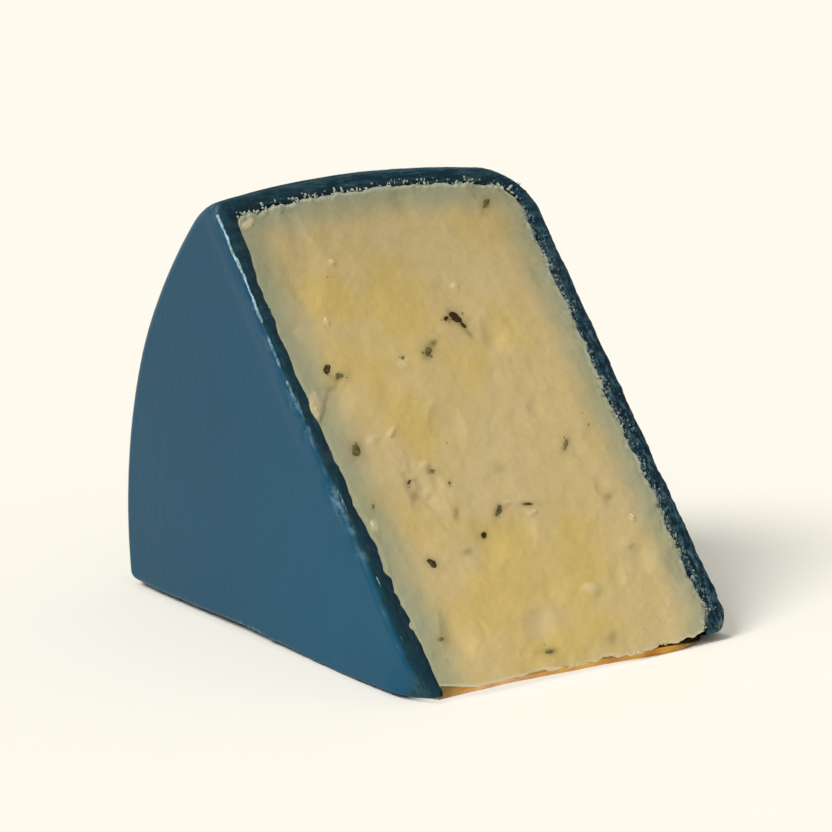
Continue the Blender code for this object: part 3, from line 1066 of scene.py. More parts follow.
def chip(cut, spot, shift, tone):
    """A grain that the knife cut nearly level with the cheese, shifted along and across its spot."""
    up, across, length, width, turn = spot
    turn = math.radians(turn)
    up += shift[0] * math.cos(turn) - shift[1] * math.sin(turn)
    across += shift[0] * math.sin(turn) + shift[1] * math.cos(turn)
    shape = (length * CHIP_SPREAD, width * CHIP_SPREAD, CHIP_THICKNESS)
    return on_cut(cut, up, across, CHIP_SUNK), shape, lying_on_cut(turn), tone


def fleck_chips(rng, cut, fleck):
    """One dark chip, or a row of them in a long fleck, and a few small ones round it."""
    up, across, length, width, turn, _, shown = fleck
    size = mix(0.6, 0.9, shown)
    chips = []
    for step, long, wide in ((0, 1.0, 1.0),) if length < ROUND_FLECK * width else CHIP_ROW:
        spot = (up, across, length * long * size, width * wide * size, turn)
        shift = (step * length * size, rng.gauss(0, width * 0.10))
        chips.append(chip(cut, spot, shift, 1.1 - shown + rng.uniform(-0.1, 0.2)))
    for _ in range(round(1 + 2 * shown)):
        small = width * rng.uniform(0.15, 0.32)
        shift = (rng.gauss(0, length * 0.30), rng.gauss(0, width * 0.34))
        spot = (up, across, small * 1.5, small, turn + rng.gauss(0, 30))
        chips.append(chip(cut, spot, shift, rng.uniform(0.5, 1.2)))
    return chips


def clump(rng, cut, spot, count, sizes, sunk):
    """Grains heaped in the ellipse of a spot, lying the way that it does."""
    up, across, length, width, turn = spot[:5]
    turn = math.radians(turn)
    grains = []
    for _ in range(count):
        shift = Vector((rng.gauss(0, length * 0.24), rng.gauss(0, width * 0.22)))
        shift.rotate(Matrix.Rotation(turn, 2))
        size = rng.uniform(*sizes)
        place = on_cut(cut, up + shift.x, across + shift.y, size * sunk)
        shape = (size * rng.uniform(1.1, 1.9), size, size * rng.uniform(0.5, 0.8))
        grains.append((place, shape, lying_on_cut(turn + rng.gauss(0, 0.5)), rng.random()))
    return grains


def make_flecks(look, cut, material):
    rng = random.Random(look.fleck_seed)
    grains = []
    for fleck in FLECKS:
        if fleck[6] > LEAST_SHOWN:
            grains += fleck_chips(rng, cut, fleck)
    for _ in range(look.small_flecks):
        spot = (*in_cheese(rng, 0.0025), rng.uniform(0.0003, 0.0006), 0.00025, rng.gauss(50, 30))
        grains.append(chip(cut, spot, (0, 0), rng.uniform(0.7, 1.3)))
    return make_grains("truffle_flecks", grains, 3, 0.00024, material)


def make_curd_bits(look, cut, material):
    """Small pale bits of curd that stand on the cut."""
    rng = random.Random(look.curd_seed)
    grains = []
    for lump in LUMPS:
        grains += clump(rng, cut, lump, round(1 + 500 * lump[2]), (0.0003, 0.0006), 0.2)
    for _ in range(look.curd_bits):
        spot = (*in_cheese(rng, 0.001), 0.0003, 0.0003, rng.uniform(0, 180))
        grains += clump(rng, cut, spot, 1, (0.0002, 0.00045), 0.3)
    for _ in range(look.lip_bits):
        across = rng.uniform(0.028, 0.059)
        up = along(LIP_HEIGHT, across) / math.sin(WEDGE_TURN) + rng.uniform(0.0001, 0.0005)
        grains += clump(rng, cut, (up, across, 0.0003, 0.0001, 90), 1, (0.0002, 0.0004), 0.2)
    return make_grains("curd_bits", grains, 2, 0.0003, material)


def edge_line(edge):
    """The line between cheese and wax along one edge, as (up, across, way to the wax) places."""
    if edge == "top":
        first, last = NEAR_WAX[-1][1], THICKNESS - WAX
        turns = [math.pi * step / TOP_BED_STEPS for step in range(TOP_BED_STEPS + 1)]
        places = [mix(first, last, 0.5 - 0.5 * math.cos(turn)) for turn in turns]
        return [(top_boundary(across), across, Vector((1, 0))) for across in places]
    if edge == "far":
        boundary, first, last = far_boundary, 0.0060, top_boundary(THICKNESS - WAX - 0.0045)
    else:
        boundary, first, last = near_boundary, 0.0020, 0.0880
    ups = [mix(first, last, step / SIDE_BED_STEPS) for step in range(SIDE_BED_STEPS + 1)]
    return [(up, boundary(up), Vector((0, 1))) for up in ups]


def patchiness(up, across, patches):
    """How dense the crumbs lie at a place of an edge, where they come and go."""
    seed, least, length = patches
    cloud = 0.5 + 0.5 * ragged(up + across, seed, length)
    return mix(least, 1.0, cloud * cloud)


def strip(edge, into_wax, width, patches, tone):
    """A narrow strip of faces along an edge, densest in its middle, that crumbs are strewn on."""
    bm = bmesh.new()
    density_layer = bm.verts.layers.float.new("density")
    tone_layer = bm.verts.layers.float.new("tone")
    rows = []
    for up, across, way in edge_line(edge):
        up += way.x * into_wax
        across += way.y * into_wax
        density = patchiness(up, across, patches)
        row = []
        for share, thinning in ((-0.5, 0.35), (0.0, 1.0), (0.5, 0.35)):
            place = in_wheel(up + way.x * width * share, across + way.y * width * share, WEDGE_TURN)
            vert = bm.verts.new(place - CUT_NORMAL * CRUMBS_SUNK)
            vert[density_layer] = density * thinning
            vert[tone_layer] = tone + 0.5 * share
            row.append(vert)
        rows.append(row)
    for row, following in zip(rows, rows[1:]):
        for index in range(2):
            bm.faces.new((row[index], row[index + 1], following[index + 1], following[index]))
    return as_mesh(bm, edge + "_bed")


def join(name, pieces, material):
    """Several objects made one."""
    bm = bmesh.new()
    for piece in pieces:
        bm.from_mesh(piece.data)
        bpy.data.objects.remove(piece)
    mesh = as_mesh(bm, name)
    mesh.materials.append(material)
    return in_scene(name, mesh)


def make_crumbs(name, beds, amount, material):
    """Crumbs that the knife left on several beds."""
    tree = crumb_tree()
    made = []
    for *bed, number, smallest, largest, seed in beds:
        values = {
            "Crumbs per Square Metre": number * amount * 1e6,
            "Smallest": smallest,
            "Largest": largest,
            "Seed": seed,
            "Unevenness": 0.00025,
            "Lump Size": 0.0004,
            "Material": material,
        }
        made.append(run_tree(f"{name}_{seed}", strip(*bed), tree, values))
    return join(name, made, material)


def burr_point(look, coat, up):
    """A place of the bead, on the wax's edge and inside the near face's plane."""
    index = min(WAX_SIDE_STEPS, round(up / NEAR_CORNER_UP * WAX_SIDE_STEPS))
    point, _ = coat.point(index, clamp(along(FACE_EDGE, up) / 0.004, 0.0, 0.9), 1.0)
    point += CUT_NORMAL * 0.00022
    point.y += 0.00022 * ragged(up, 52, 0.0045)
    point.y = max(point.y, NEAR_Y + look.burr + 0.00005)
    return point


def make_burr(look, coat, material):
    """The thin broken bead of wax that the knife pushed over the near face's edge."""
    points, edges, thicks, whites = [], [], [], []
    broken = True
    for step in range(BURR_STEPS):
        up = mix(0.004, 0.0935, step / BURR_STEPS)
        shown = smooth(0.0, 0.35, along(BURR, up) - 0.62 + 0.75 * ragged(up, 51, 0.0042))
        if shown < 0.06:
            broken = True
            continue
        if not broken:
            edges.append((len(points) - 1, len(points)))
        broken = False
        points.append(burr_point(look, coat, up))
        thicks.append(look.burr * shown * (0.80 + 0.30 * ragged(up, 53, 0.0020)))
        whites.append(along(BURR_WHITENESS, up) + 0.6 * max(0.0, ragged(up, 54, 0.0040)))
    source = line_work("burr_line", points, edges, (("thick", thicks), ("white", whites)))
    values = {"Sides": 7, "Unevenness": 0.00022, "Lump Size": 0.0009, "Material": material}
    return run_tree("wax_burr", source, burr_tree(), values)


def film_section(across):
    """The film's section (x, height) at a distance across: its foot, its front and its top."""
    foot = TIP_X - along(TIP_RECESS, across) + 0.00008 * ragged(across, 61, 0.005)
    lip = along(LIP_HEIGHT, across)
    lip_front = TIP_X - max(TIP_BLUNTING + 0.0001, lip / math.tan(WEDGE_TURN))
    top = min(lip - 0.00005, along(FILM_TOP, across)) + 0.00006 * ragged(across, 62, 0.003)
    bulge = 0.00004 * noise.noise(Vector((across / 0.0016, 3.3, 0)))
    foot_in, top_in, edge_in = FILM_REACH
    section = [(foot - foot_in, FILM_GAP)]
    for share in (0.0, 0.2, 0.5, 0.8):
        section.append((mix(foot, lip_front, share * top / lip) + bulge, FILM_GAP + share * top))
    top_front = mix(foot, lip_front, top / lip)
    return section + [(top_front - edge_in, top), (top_front - top_in, top)]


def make_amber_glow_film():
    """An amber sheet under the lip of the cheese's tip: painted light, for the glow through the thin edge in
    the shade there, and painted shade towards both ends.
    """
    rings = []
    for step in range(FILM_STEPS + 1):
        across = mix(along(NEAR_WAX, 0) + 0.0002, FILM_END, step / FILM_STEPS)
        # Painted shade: both ends of the sheet are darkened.
        shaded_ends = max(1 - smooth(0.006, 0.011, across), smooth(0.0500, 0.0560, across))
        section = film_section(across)
        rings.append([(Vector((x, NEAR_Y + across, z)), (shaded_ends,)) for x, z in section])
    return loft("amber_glow_film", rings, ("shaded_ends",))


# Materials


class Signal:
    """A socket of a material's nodes, with arithmetic that adds Math nodes."""

    def __init__(self, finish, socket):
        self.finish = finish
        self.socket = socket

    def __add__(self, other):
        return self.finish.sum("ADD", self, other)

    def __sub__(self, other):
        return self.finish.sum("SUBTRACT", self, other)

    def __rsub__(self, other):
        return self.finish.sum("SUBTRACT", other, self)

    def __mul__(self, other):
        return self.finish.sum("MULTIPLY", self, other)

    def __truediv__(self, other):
        return self.finish.sum("DIVIDE", self, other)

    def __pow__(self, other):
        return self.finish.sum("POWER", self, other)

    __radd__ = __add__
    __rmul__ = __mul__

    def unsigned(self):
        return self.finish.sum("ABSOLUTE", self, 0.0)

    def at_least(self, other):
        return self.finish.sum("MAXIMUM", self, other)

    def held(self):
        """The same value, kept from 0 to 1."""
        return self.finish.node("ShaderNodeClamp", {}, {0: self})

    def step(self, low, high):
        """0 below low, 1 above high, and an even slope between."""
        sockets = {0: self, 1: low, 2: high, 3: 0.0, 4: 1.0}
        return self.finish.node("ShaderNodeMapRange", {"interpolation_type": "SMOOTHSTEP"}, sockets)


class Finish:
    """The nodes of one material."""

    def __init__(self, name):
        self.material = bpy.data.materials.new(name)
        self.material.use_nodes = True
        self.tree = self.material.node_tree
        self.shader = self.tree.nodes["Principled BSDF"]
        self.shader.inputs["Metallic"].default_value = 0.0
        self.place = self.node("ShaderNodeTexCoord", out="Object")

    def node(self, kind, settings=None, sockets=None, out=0):
        """Adds a node: its settings first, then the values or links of its sockets."""
        made = self.tree.nodes.new(kind)
        for setting, value in (settings or {}).items():
            setattr(made, setting, value)
        for key, value in (sockets or {}).items():
            self.feed(made.inputs[key], value)
        return Signal(self, made.outputs[out])

    def feed(self, socket, value):
        if isinstance(value, Signal):
            self.tree.links.new(value.socket, socket)
        elif socket.type == "RGBA":
            socket.default_value = (*value[:3], 1.0)
        else:
            socket.default_value = value

    def sum(self, operation, first, second):
        return self.node("ShaderNodeMath", {"operation": operation}, {0: first, 1: second})

    def mark(self, name):
        """A mark that the mesh carries."""
        return self.node("ShaderNodeAttribute", {"attribute_name": name}, out="Fac")

    def turned(self, turn, scale):
        """The object's own coordinates, turned and then stretched."""
        sockets = {0: self.place, 2: turn, 3: scale}
        return self.node("ShaderNodeMapping", {"vector_type": "TEXTURE"}, sockets)

    def cloud(self, size, detail=2.0, rough=0.5, place=None, warp=0.0):
        """Noise around 0.5 with features of about this size."""
        sockets = {0: place or self.place, 2: 1 / size, 3: detail, 4: rough, 8: warp}
        return self.node("ShaderNodeTexNoise", {}, sockets)

    def cells(self, size, feature):
        """A Voronoi pattern with cells of about this size."""
        return self.node("ShaderNodeTexVoronoi", {"feature": feature}, {0: self.place, 2: 1 / size})

    def blend(self, share, first, second):
        """The second colour laid over the first by this share."""
        return self.node("ShaderNodeMix", {"data_type": "RGBA"}, {0: share, 6: first, 7: second}, out=2)

    def shade(self, colour, factor):
        """A colour made lighter or darker by a factor."""
        whole = self.node("ShaderNodeCombineXYZ", {}, {0: factor, 1: factor, 2: factor})
        return self.node("ShaderNodeVectorMath", {"operation": "MULTIPLY"}, {0: colour, 1: whole})

    def bump(self, height, distance, strength=1.0, under=None):
        sockets = {"Strength": strength, "Distance": distance, "Height": height}
        if under is not None:
            sockets["Normal"] = under
        return self.node("ShaderNodeBump", {}, sockets, out="Normal")

    def close(self, fixed, **linked):
        """Sets the shader's constants and links what changes over the surface."""
        for name, value in fixed.items():
            self.feed(self.shader.inputs[name], value)
        for name, value in linked.items():
            self.feed(self.shader.inputs[name.replace("_", " ")], value)
        return self.material


def cheese_finish(look):
    """Pale butter-yellow curd, greener by the wax, stained round the truffle; painted lighter low down and
    darker towards the top for the light, and painted near-black as shade in the hollow under the lip.
    """
    f = Finish("cut_cheddar")
    streaks = f.turned(lying_on_cut(math.radians(50)), (0.0042, 0.0012, 0.0042))
    slow = f.cloud(0.016, 2.0, 0.5, warp=0.6)
    middle = f.cloud(0.0055, 3.0, 0.55, warp=0.4)
    fine = f.cloud(0.0011, 3.0, 0.6)
    drag = f.cloud(1.0, 2.0, 0.5, place=streaks)

    yellow = (f.mark("yellow") + (slow - 0.5) * 0.9 + (middle - 0.5) * 0.5).step(0.36, 0.92)
    colour = f.blend(yellow, look.butter, look.yellow)
    rind = f.mark("rind") + (middle - 0.5) * 0.003
    by_wax = 1.0 - rind.step(0.0005, 0.0085)
    colour = f.blend(by_wax * 0.85, colour, look.by_wax)
    curd = f.cells(0.0042, "DISTANCE_TO_EDGE")
    joints = 1.0 - curd.step(0.0, 0.16)
    # Painted light: the cut is painted lighter low down and darker towards the top, as the light falls on
    # it.
    height = f.node("ShaderNodeSeparateXYZ", {}, {0: f.place}, out="Z")
    painted_light_by_height = 1.08 - height.step(0.008, 0.030) * 0.06 - height.step(0.045, 0.068) * 0.14
    grain = (drag - 0.5) * 0.10 + (fine - 0.5) * 0.07 - joints * 0.022
    colour = f.shade(colour, painted_light_by_height + grain)

    torn_edge = (f.mark("torn") * (0.4 + f.cloud(0.0011, 2.0, 0.6) * 1.3)).step(0.25, 0.95)
    colour = f.blend(f.mark("pale") * 0.55, colour, look.curd)
    colour = f.blend(torn_edge * 0.8, colour, look.crumb)
    stain = f.mark("stain") * (0.75 + fine * 0.5)
    colour = f.blend(stain.held(), colour, look.stain)
    colour = f.blend(f.mark("lip") * 0.65, colour, look.lip)
    # Painted shade: the hollow under the lip is coloured near-black.
    colour = f.blend(f.mark("shade"), colour, look.shaded_hollow)

    wet = f.cloud(0.006, 2.0, 0.5).step(0.35, 0.75)
    rough = 0.52 - wet * 0.12 + (fine - 0.5) * 0.10
    grain = f.bump(fine, 0.00009, 0.45)
    grain = f.bump(f.cloud(0.00042, 2.0, 0.5), 0.00004, 0.4, grain)
    grain = f.bump(drag, 0.00008, 0.4, grain)
    fixed = {
        "Subsurface Weight": 0.22,
        "Subsurface Radius": (1.0, 0.62, 0.25),
        "Subsurface Scale": 0.0022,
        "IOR": 1.44,
        "Specular IOR Level": 0.42,
    }
    return f.close(fixed, Base_Color=colour, Roughness=rough, Normal=grain)


def wax_finish(look):
    """Satin blue wax: smooth sides, a leathery rim painted darker as shade, and a dark dull cut that is torn
    in places, with pale fibres and painted glints on the torn wax.
    """
    f = Finish("blue_wax")
    cut = f.mark("cut")
    rim = f.mark("rim")
    torn = f.mark("rough")
    slow = f.cloud(0.030, 2.0, 0.5, warp=0.3)
    middle = f.cloud(0.0045, 3.0, 0.55)
    fine = f.cloud(0.0012, 3.0, 0.6)

    colour = f.blend(slow.step(0.3, 0.7), look.face_low, look.face)
    colour = f.blend(f.mark("edge"), colour, look.edge)
    # Painted shade: the rim is coloured darker navy than the flat sides, for the shade on the wedge's top.
    colour = f.blend(rim * (0.7 + slow * 0.3), colour, look.rim)
    colour = f.shade(colour, 1.0 + (middle - 0.5) * 0.08 + (fine - 0.5) * 0.05)
    inner = (f.mark("inner") + (middle - 0.5) * 1.2).step(0.20, 0.80)
    cut_colour = f.blend(inner, look.cut, look.cut_dark)
    cut_colour = f.blend(middle.step(0.50, 0.68) * 0.5, cut_colour, look.cut_grey)
    up_side = f.turned(lying_on_cut(0.0), (0.0018, 0.0007, 0.0007))
    up_edge = f.cloud(1.0, 3.0, 0.65, place=up_side)
    round_rim = f.turned((0.0, WEDGE_TURN, 0.0), (0.0008, 0.0045, 0.0008))
    round_edge = f.cloud(1.0, 3.0, 0.65, place=round_rim)
    streaks = up_edge + (round_edge - up_edge) * rim
    torn_colour = f.blend(streaks.step(0.44, 0.58), look.torn_dark, look.torn)
    # Pale streaks: partly frayed fibres of the torn wax, partly painted glints of light.
    torn_colour = f.blend(streaks.step(0.58, 0.68) * (0.35 + inner * 0.45), torn_colour, look.torn_fibres_and_glints)
    cut_colour = f.blend((torn * 1.2).held(), cut_colour, torn_colour)
    # Painted highlight: a pale broken line along the outer edge of the far side's cut.
    far_edge_glint = torn * (1.0 - rim) * (1.0 - f.mark("inner").step(0.02, 0.14)) * streaks.step(0.40, 0.56)
    cut_colour = f.blend(far_edge_glint * 0.7, cut_colour, look.torn_fibres_and_glints)
    colour = f.blend(cut, colour, cut_colour)
    scuff = (f.mark("pale") * fine.step(0.35, 0.6)).held()
    colour = f.blend(scuff, colour, look.pale)

    pebbles = f.cells(0.0014, "SMOOTH_F1")
    hide = f.cloud(0.0019, 3.0, 0.55, place=f.turned((0, 0, 0), (1.0, 0.55, 1.0)), warp=1.2)
    rough = 0.40 + (middle - 0.5) * 0.12 + cut * 0.16 - rim * 0.04
    skin = f.bump(pebbles, 0.00006, 0.30)
    skin = f.bump(hide * (0.05 + rim * 0.65), 0.00022, 0.55, skin)
    skin = f.bump(fine * (0.3 + cut * 0.7), 0.00016, 0.6, skin)
    fixed = {"IOR": 1.44, "Specular IOR Level": 0.18}
    return f.close(fixed, Base_Color=colour, Roughness=rough, Normal=skin)


def crumb_finish(name, first, second, size, roughness, specular=0.45, mark=None):
    """Crumbs of two tones, mixed by place, and by a mark where they carry one."""
    f = Finish(name)
    cloud = f.cloud(size, 1.0, 0.5)
    tone = (f.mark(mark) + (cloud - 0.5) * 0.9).step(0.15, 0.85) if mark else cloud.step(0.44, 0.56)
    grit = f.cloud(0.0003, 2.0, 0.6)
    colour = f.shade(f.blend(tone, first, second), 0.85 + grit * 0.3)
    fixed = {"IOR": 1.44, "Specular IOR Level": specular}
    rough = roughness + (grit - 0.5) * 0.2
    return f.close(fixed, Base_Color=colour, Roughness=rough, Normal=f.bump(grit, 0.00005, 0.5))


def amber_glow_finish(look):
    """Painted glow: amber, glossy and a little cloudy, for light through the thin tip; painted shade darkens
    both ends.
    """
    f = Finish("painted_amber_glow")
    tone = f.cloud(0.0045, 2.0, 0.5).step(0.35, 0.65)
    colour = f.blend(tone, look.amber, look.amber_dark)
    # Painted shade: the sheet's ends are darkened with the stain colour.
    colour = f.blend(f.mark("shaded_ends") * 0.8, colour, look.stain)
    rough = 0.22 + f.cloud(0.0012, 2.0, 0.5) * 0.2
    fixed = {
        "Subsurface Weight": 0.3,
        "Subsurface Radius": (1.0, 0.5, 0.1),
        "Subsurface Scale": 0.001,
        "IOR": 1.38,
        "Specular IOR Level": 0.35,
    }
    shine = f.bump(f.cloud(0.0016, 2.0, 0.5), 0.0001, 0.5)
    return f.close(fixed, Base_Color=colour, Roughness=rough, Normal=shine)


def floor_finish(look):
    """Matt paper that glows as if lit from below: not under the wedge, and most by its tip."""
    f = Finish("pale_floor")
    x, y = (f.node("ShaderNodeSeparateXYZ", {}, {0: f.place}, out=axis) for axis in "XY")
    half_length, half_width = cad_box[1].x, cad_box[1].y
    beyond = (x.unsigned() - half_length).at_least(y.unsigned() - half_width)
    glow = beyond.step(-0.0004, 0.0008) * look.glow
    from_tip = ((x - TIP_GLOW_AT[0]) / TIP_GLOW_REACH[0]) ** 2
    from_tip = (from_tip + ((y - TIP_GLOW_AT[1]) / TIP_GLOW_REACH[1]) ** 2).step(0.5, 1.2)
    glow = glow * from_tip + (1.0 - from_tip) * look.tip_glow
    fixed = {"Roughness": 0.9, "Specular IOR Level": 0.1, "Emission Strength": 1.0}
    own = f.shade(look.backdrop, glow)
    return f.close(fixed, Base_Color=f.shade(look.floor, 1.0 - glow), Emission_Color=own)


# Settings that a user would change


def size(name, description, default):
    return bpy.props.FloatProperty(
        name=name, description=description, default=default, min=0.0, max=0.01, unit="LENGTH", precision=5
    )


def share(name, description, default, high=3.0):
    return bpy.props.FloatProperty(name=name, description=description, default=default, min=0.0, max=high)


def colour(name, description, default):
    return bpy.props.FloatVectorProperty(
        name=name, description=description, default=default, subtype="COLOR", size=3, min=0.0, max=1.0
    )


def count(name, description, default):
    return bpy.props.IntProperty(name=name, description=description, default=default, min=0, max=2000)


class CheeseLook(bpy.types.PropertyGroup):
    """The cut cheese and what is in it."""

    waviness: share("Waviness", "Strength of the slow relief of the cut", 1.0)
    grain: share("Grain", "Strength of the fine relief of the cut", 1.0)
    crumbliness: share("Crumbliness", "How torn the cheese is along the wax", 1.0)
    lumpiness: share("Lumpiness", "Height of the lumps of pale curd", 0.6)
    butter: colour("Butter", "Most of the cheese", (0.620, 0.490, 0.250))
    yellow: colour("Yellow", "Richer patches of curd", (0.620, 0.470, 0.165))
    by_wax: colour("By the wax", "The cheese close under the wax", (0.320, 0.352, 0.245))
    curd: colour("Curd", "Lumps of lighter curd", (0.680, 0.575, 0.350))
    lip: colour("Lip", "The torn lip of the tip", (0.850, 0.780, 0.560))
    crumb: colour("Crumbs", "Torn curd and crumbs along the wax", (0.420, 0.460, 0.360))
    crumb_dark: colour("Crumbs, darker", "Crumbs with wax in them", (0.120, 0.160, 0.165))
    stain: colour("Stain", "Cheese stained by truffle", (0.150, 0.110, 0.042))
    # Painted shade: the near-black colour of the hollow under the lip.
    shaded_hollow: colour("Hollow", "The wet hollow under the lip", (0.012, 0.011, 0.005))
    # Painted light: amber for the glow of light through the thin tip, under the lip.
    amber: colour("Amber", "The wet film under the tip", (0.740, 0.380, 0.045))
    amber_dark: colour("Dark amber", "The film's darker stretches", (0.520, 0.210, 0.016))
    truffle: colour("Truffle", "The flecks", (0.036, 0.018, 0.006))
    truffle_green: colour("Herb", "The paler and greener flecks", (0.200, 0.175, 0.060))
    small_flecks: count("Small flecks", "Number of small scattered flecks", 5)
    curd_bits: count("Curd bits", "Number of small pale bits", 26)
    lip_bits: count("Lip bits", "Number of small pale bits along the tip's lip", 36)
    fleck_seed: count("Fleck seed", "Seed of the small flecks' places", 5)
    curd_seed: count("Curd seed", "Seed of the pale bits' places", 8)


class WaxLook(bpy.types.PropertyGroup):
    """The wax coat and its crumbs."""

    crumbliness: share("Crumbliness", "How torn the wax is on the far side's cut", 1.0)
    creases: size("Creases", "Depth of the creases round the rim", 0.00022)
    burr: size("Burr", "Half the thickness of the bead on the near edge", 0.00028)
    crumbs: share("Crumbs", "Amount of loose crumbs along the wax", 1.0)
    face: colour("Face", "The flat sides", (0.0056, 0.071, 0.134))
    face_low: colour("Face, darker", "The flat sides' darker clouds", (0.0046, 0.063, 0.120))
    # Painted shade: the rim's darker navy stands for shade on the wedge's top.
    rim: colour("Rim", "The rolled rim", (0.006, 0.045, 0.085))
    cut: colour("Cut", "The outer part of the cut wax", (0.006, 0.044, 0.068))
    cut_dark: colour("Cut, darker", "The cut wax next to the cheese", (0.004, 0.025, 0.044))
    cut_grey: colour("Cut, greyer", "Smears on the cut wax", (0.028, 0.075, 0.085))
    torn: colour("Torn", "The torn wax of the far side's cut", (0.024, 0.070, 0.098))
    torn_dark: colour("Torn, darker", "Hollows in the torn wax", (0.002, 0.014, 0.028))
    # Partly the pale of frayed fibres, partly painted glints of light.
    torn_fibres_and_glints: colour("Torn, paler", "Frayed fibres of the torn wax", (0.130, 0.210, 0.230))
    edge: colour("Edge", "The flat side close under the knife", (0.003, 0.067, 0.150))
    burr_blue: colour("Burr, darker", "The bead of wax where it is thin", (0.045, 0.150, 0.230))
    crumb: colour("Crumbs", "The lighter crumbs of wax", (0.080, 0.165, 0.195))
    pale: colour("Pale", "Whitened and scuffed wax", (0.300, 0.500, 0.600))


class StageLook(bpy.types.PropertyGroup):
    """The floor, the light and the camera."""

    floor: colour("Floor", "The plain floor", (0.940, 0.930, 0.890))
    backdrop: colour("Backdrop", "What the camera sees at the horizon", (0.991, 0.956, 0.855))
    glow: share("Glow", "Share of the floor's brightness that is its own", 0.25, high=1.0)
    tip_glow: share("Glow at the tip", "The same in front of the wedge's tip", 0.80, high=1.0)
    overhead: share("Overhead", "Light from the sky over the horizon, as a share of the horizon", 0.42)
    key: share("Key", "Strength of the main soft light", 2.75, high=20.0)
    softness: bpy.props.FloatProperty(
        name="Softness", description="Width of the main light", default=math.radians(28), subtype="ANGLE"
    )
    lens: bpy.props.FloatProperty(
        name="Lens", description="Focal length in millimetres", default=118.0, min=20.0, max=400.0
    )


# Operators


class CHEDDAR_OT_cheese(bpy.types.Operator):
    """Makes the cheese with its relief, in place of the cheese solid"""

    bl_idname = "cheddar.cheese"
    bl_label = "Cut cheese"

    def execute(self, context):
        look = context.scene.cheddar_cheese
        piece = dress(make_cheese(look), cheese_finish(look))
        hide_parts("cheese")
        return {"FINISHED"}


class CHEDDAR_OT_wax(bpy.types.Operator):
    """Makes the wax coat, in place of the wax solid"""

    bl_idname = "cheddar.wax"
    bl_label = "Wax coat"

    def execute(self, context):
        look = context.scene.cheddar_wax
        piece = dress(make_wax(look), wax_finish(look))
        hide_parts("wax_coat")
        return {"FINISHED"}


class CHEDDAR_OT_burr(bpy.types.Operator):
    """Makes the bead of wax along the near edge of the upper cut"""

    bl_idname = "cheddar.burr"
    bl_label = "Wax burr"

    def execute(self, context):
        look = context.scene.cheddar_wax
        material = crumb_finish("pale_burr", look.burr_blue, look.pale, 0.0022, 0.38, mark="white")
        dress(make_burr(look, WaxCoat(look), material), material)
        return {"FINISHED"}


class CHEDDAR_OT_flecks(bpy.types.Operator):
    """Makes the truffle and pepper flecks and the pale bits of curd in the upper cut"""

    bl_idname = "cheddar.flecks"
    bl_label = "Flecks and curd"

    def execute(self, context):
        look = context.scene.cheddar_cheese
        cut = CutFace(look)
        dark = crumb_finish("truffle", look.truffle, look.truffle_green, 0.0012, 0.6, 0.2, "tone")
        dress(make_flecks(look, cut, dark), dark)
        light = crumb_finish("pale_curd", look.curd, look.butter, 0.004, 0.5)
        dress(make_curd_bits(look, cut, light), light)
        return {"FINISHED"}


class CHEDDAR_OT_crumbs(bpy.types.Operator):
    """Makes the crumbs of cheese and of wax that the knife left along the edges"""

    bl_idname = "cheddar.crumbs"
    bl_label = "Crumbs"

    def execute(self, context):
        cheese, wax = context.scene.cheddar_cheese, context.scene.cheddar_wax
        light = crumb_finish("whitish_crumbs", cheese.crumb, cheese.crumb_dark, 0.0009, 0.5, mark="tone")
        dress(make_crumbs("cheese_crumbs", CHEESE_BEDS, wax.crumbs, light), light)
        blue = crumb_finish("torn_wax", wax.cut_dark, wax.crumb, 0.0009, 0.35)
        dress(make_crumbs("wax_crumbs", WAX_BEDS, wax.crumbs, blue), blue)
        return {"FINISHED"}


class CHEDDAR_OT_amber_glow(bpy.types.Operator):
    """Makes the amber film under the thin tip, painted for light glowing through it"""

    bl_idname = "cheddar.whey"
    bl_label = "Amber glow film"

    def execute(self, context):
        look = context.scene.cheddar_cheese
        dress(make_amber_glow_film(), amber_glow_finish(look))
        return {"FINISHED"}


class CHEDDAR_OT_stage(bpy.types.Operator):
    """Makes the floor, the lights and the camera"""

    bl_idname = "cheddar.stage"
    bl_label = "Stage"

    def execute(self, context):
        look = context.scene.cheddar_stage
        make_floor(look)
        make_light(look)
        make_camera(look)
        return {"FINISHED"}


def make_floor(look):
    bm = bmesh.new()
    bmesh.ops.create_circle(bm, cap_ends=True, radius=FLOOR_RADIUS, segments=64)
    bmesh.ops.translate(bm, vec=(0, 0, -FLOOR_SUNK), verts=bm.verts)
    floor = finish_piece(bm, "floor")
    floor.data.materials.append(floor_finish(look))


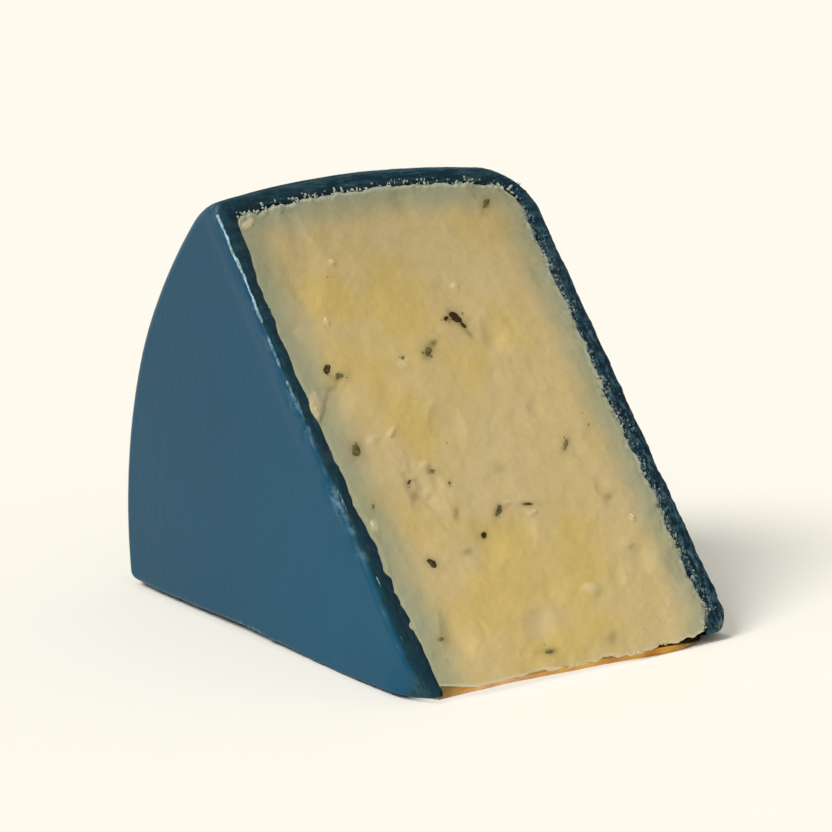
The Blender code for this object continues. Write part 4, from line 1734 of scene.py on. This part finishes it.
def make_light(look):
    """A soft key from the left and a pale horizon under a dimmer sky."""
    lamp = bpy.data.lights.new("key", "SUN")
    lamp.energy = look.key
    lamp.angle = look.softness
    lamp.color = KEY_COLOUR
    in_scene("key", lamp).rotation_euler = KEY_FROM.to_track_quat("Z", "Y").to_euler()

    world = bpy.data.worlds.new("pale_surround")
    bpy.context.scene.world = world
    world.use_nodes = True
    nodes, links = world.node_tree.nodes, world.node_tree.links
    direction = nodes.new("ShaderNodeTexCoord")
    split = nodes.new("ShaderNodeSeparateXYZ")
    fade = nodes.new("ShaderNodeMapRange")
    fade.interpolation_type = "SMOOTHSTEP"
    for socket, value in zip(list(fade.inputs)[1:5], (*HORIZON, 1.0, look.overhead)):
        socket.default_value = value
    background = nodes["Background"]
    background.inputs["Color"].default_value = (*look.backdrop, 1.0)
    links.new(direction.outputs["Generated"], split.inputs[0])
    links.new(split.outputs["Z"], fade.inputs[0])
    links.new(fade.outputs[0], background.inputs["Strength"])
    bpy.context.scene.view_settings.view_transform = "Standard"


def make_camera(look):
    data = bpy.data.cameras.new("camera")
    data.lens = look.lens
    data.clip_start = 0.01
    data.clip_end = 30.0
    camera = in_scene("camera", data)
    camera.location = CAMERA_PLACE
    camera.rotation_euler = (CAMERA_PLACE - CAMERA_AIM).to_track_quat("Z", "Y").to_euler()
    bpy.context.scene.camera = camera


OPERATORS = (
    CHEDDAR_OT_cheese,
    CHEDDAR_OT_wax,
    CHEDDAR_OT_burr,
    CHEDDAR_OT_flecks,
    CHEDDAR_OT_crumbs,
    CHEDDAR_OT_amber_glow,
    CHEDDAR_OT_stage,
)
LOOKS = (("cheddar_cheese", CheeseLook), ("cheddar_wax", WaxLook), ("cheddar_stage", StageLook))


class VIEW3D_PT_cheddar(bpy.types.Panel):
    """Lists the pieces of the wedge and their settings"""

    bl_label = "Truffle cheddar"
    bl_space_type = "VIEW_3D"
    bl_region_type = "UI"
    bl_category = "Cheddar"

    def draw(self, context):
        for operator in OPERATORS:
            self.layout.operator(operator.bl_idname)
        for name, group in LOOKS:
            box = self.layout.box()
            for prop in group.__annotations__:
                box.prop(getattr(context.scene, name), prop)


def register():
    for name, group in LOOKS:
        bpy.utils.register_class(group)
        setattr(bpy.types.Scene, name, bpy.props.PointerProperty(type=group))
    for operator in OPERATORS:
        bpy.utils.register_class(operator)
    bpy.utils.register_class(VIEW3D_PT_cheddar)


def unregister():
    bpy.utils.unregister_class(VIEW3D_PT_cheddar)
    for operator in reversed(OPERATORS):
        bpy.utils.unregister_class(operator)
    for name, group in reversed(LOOKS):
        delattr(bpy.types.Scene, name)
        bpy.utils.unregister_class(group)


def main():
    register()
    bpy.ops.cheddar.cheese()
    bpy.ops.cheddar.wax()
    bpy.ops.cheddar.burr()
    bpy.ops.cheddar.flecks()
    bpy.ops.cheddar.crumbs()
    bpy.ops.cheddar.whey()
    bpy.ops.cheddar.stage()


if __name__ == "__main__":
    main()
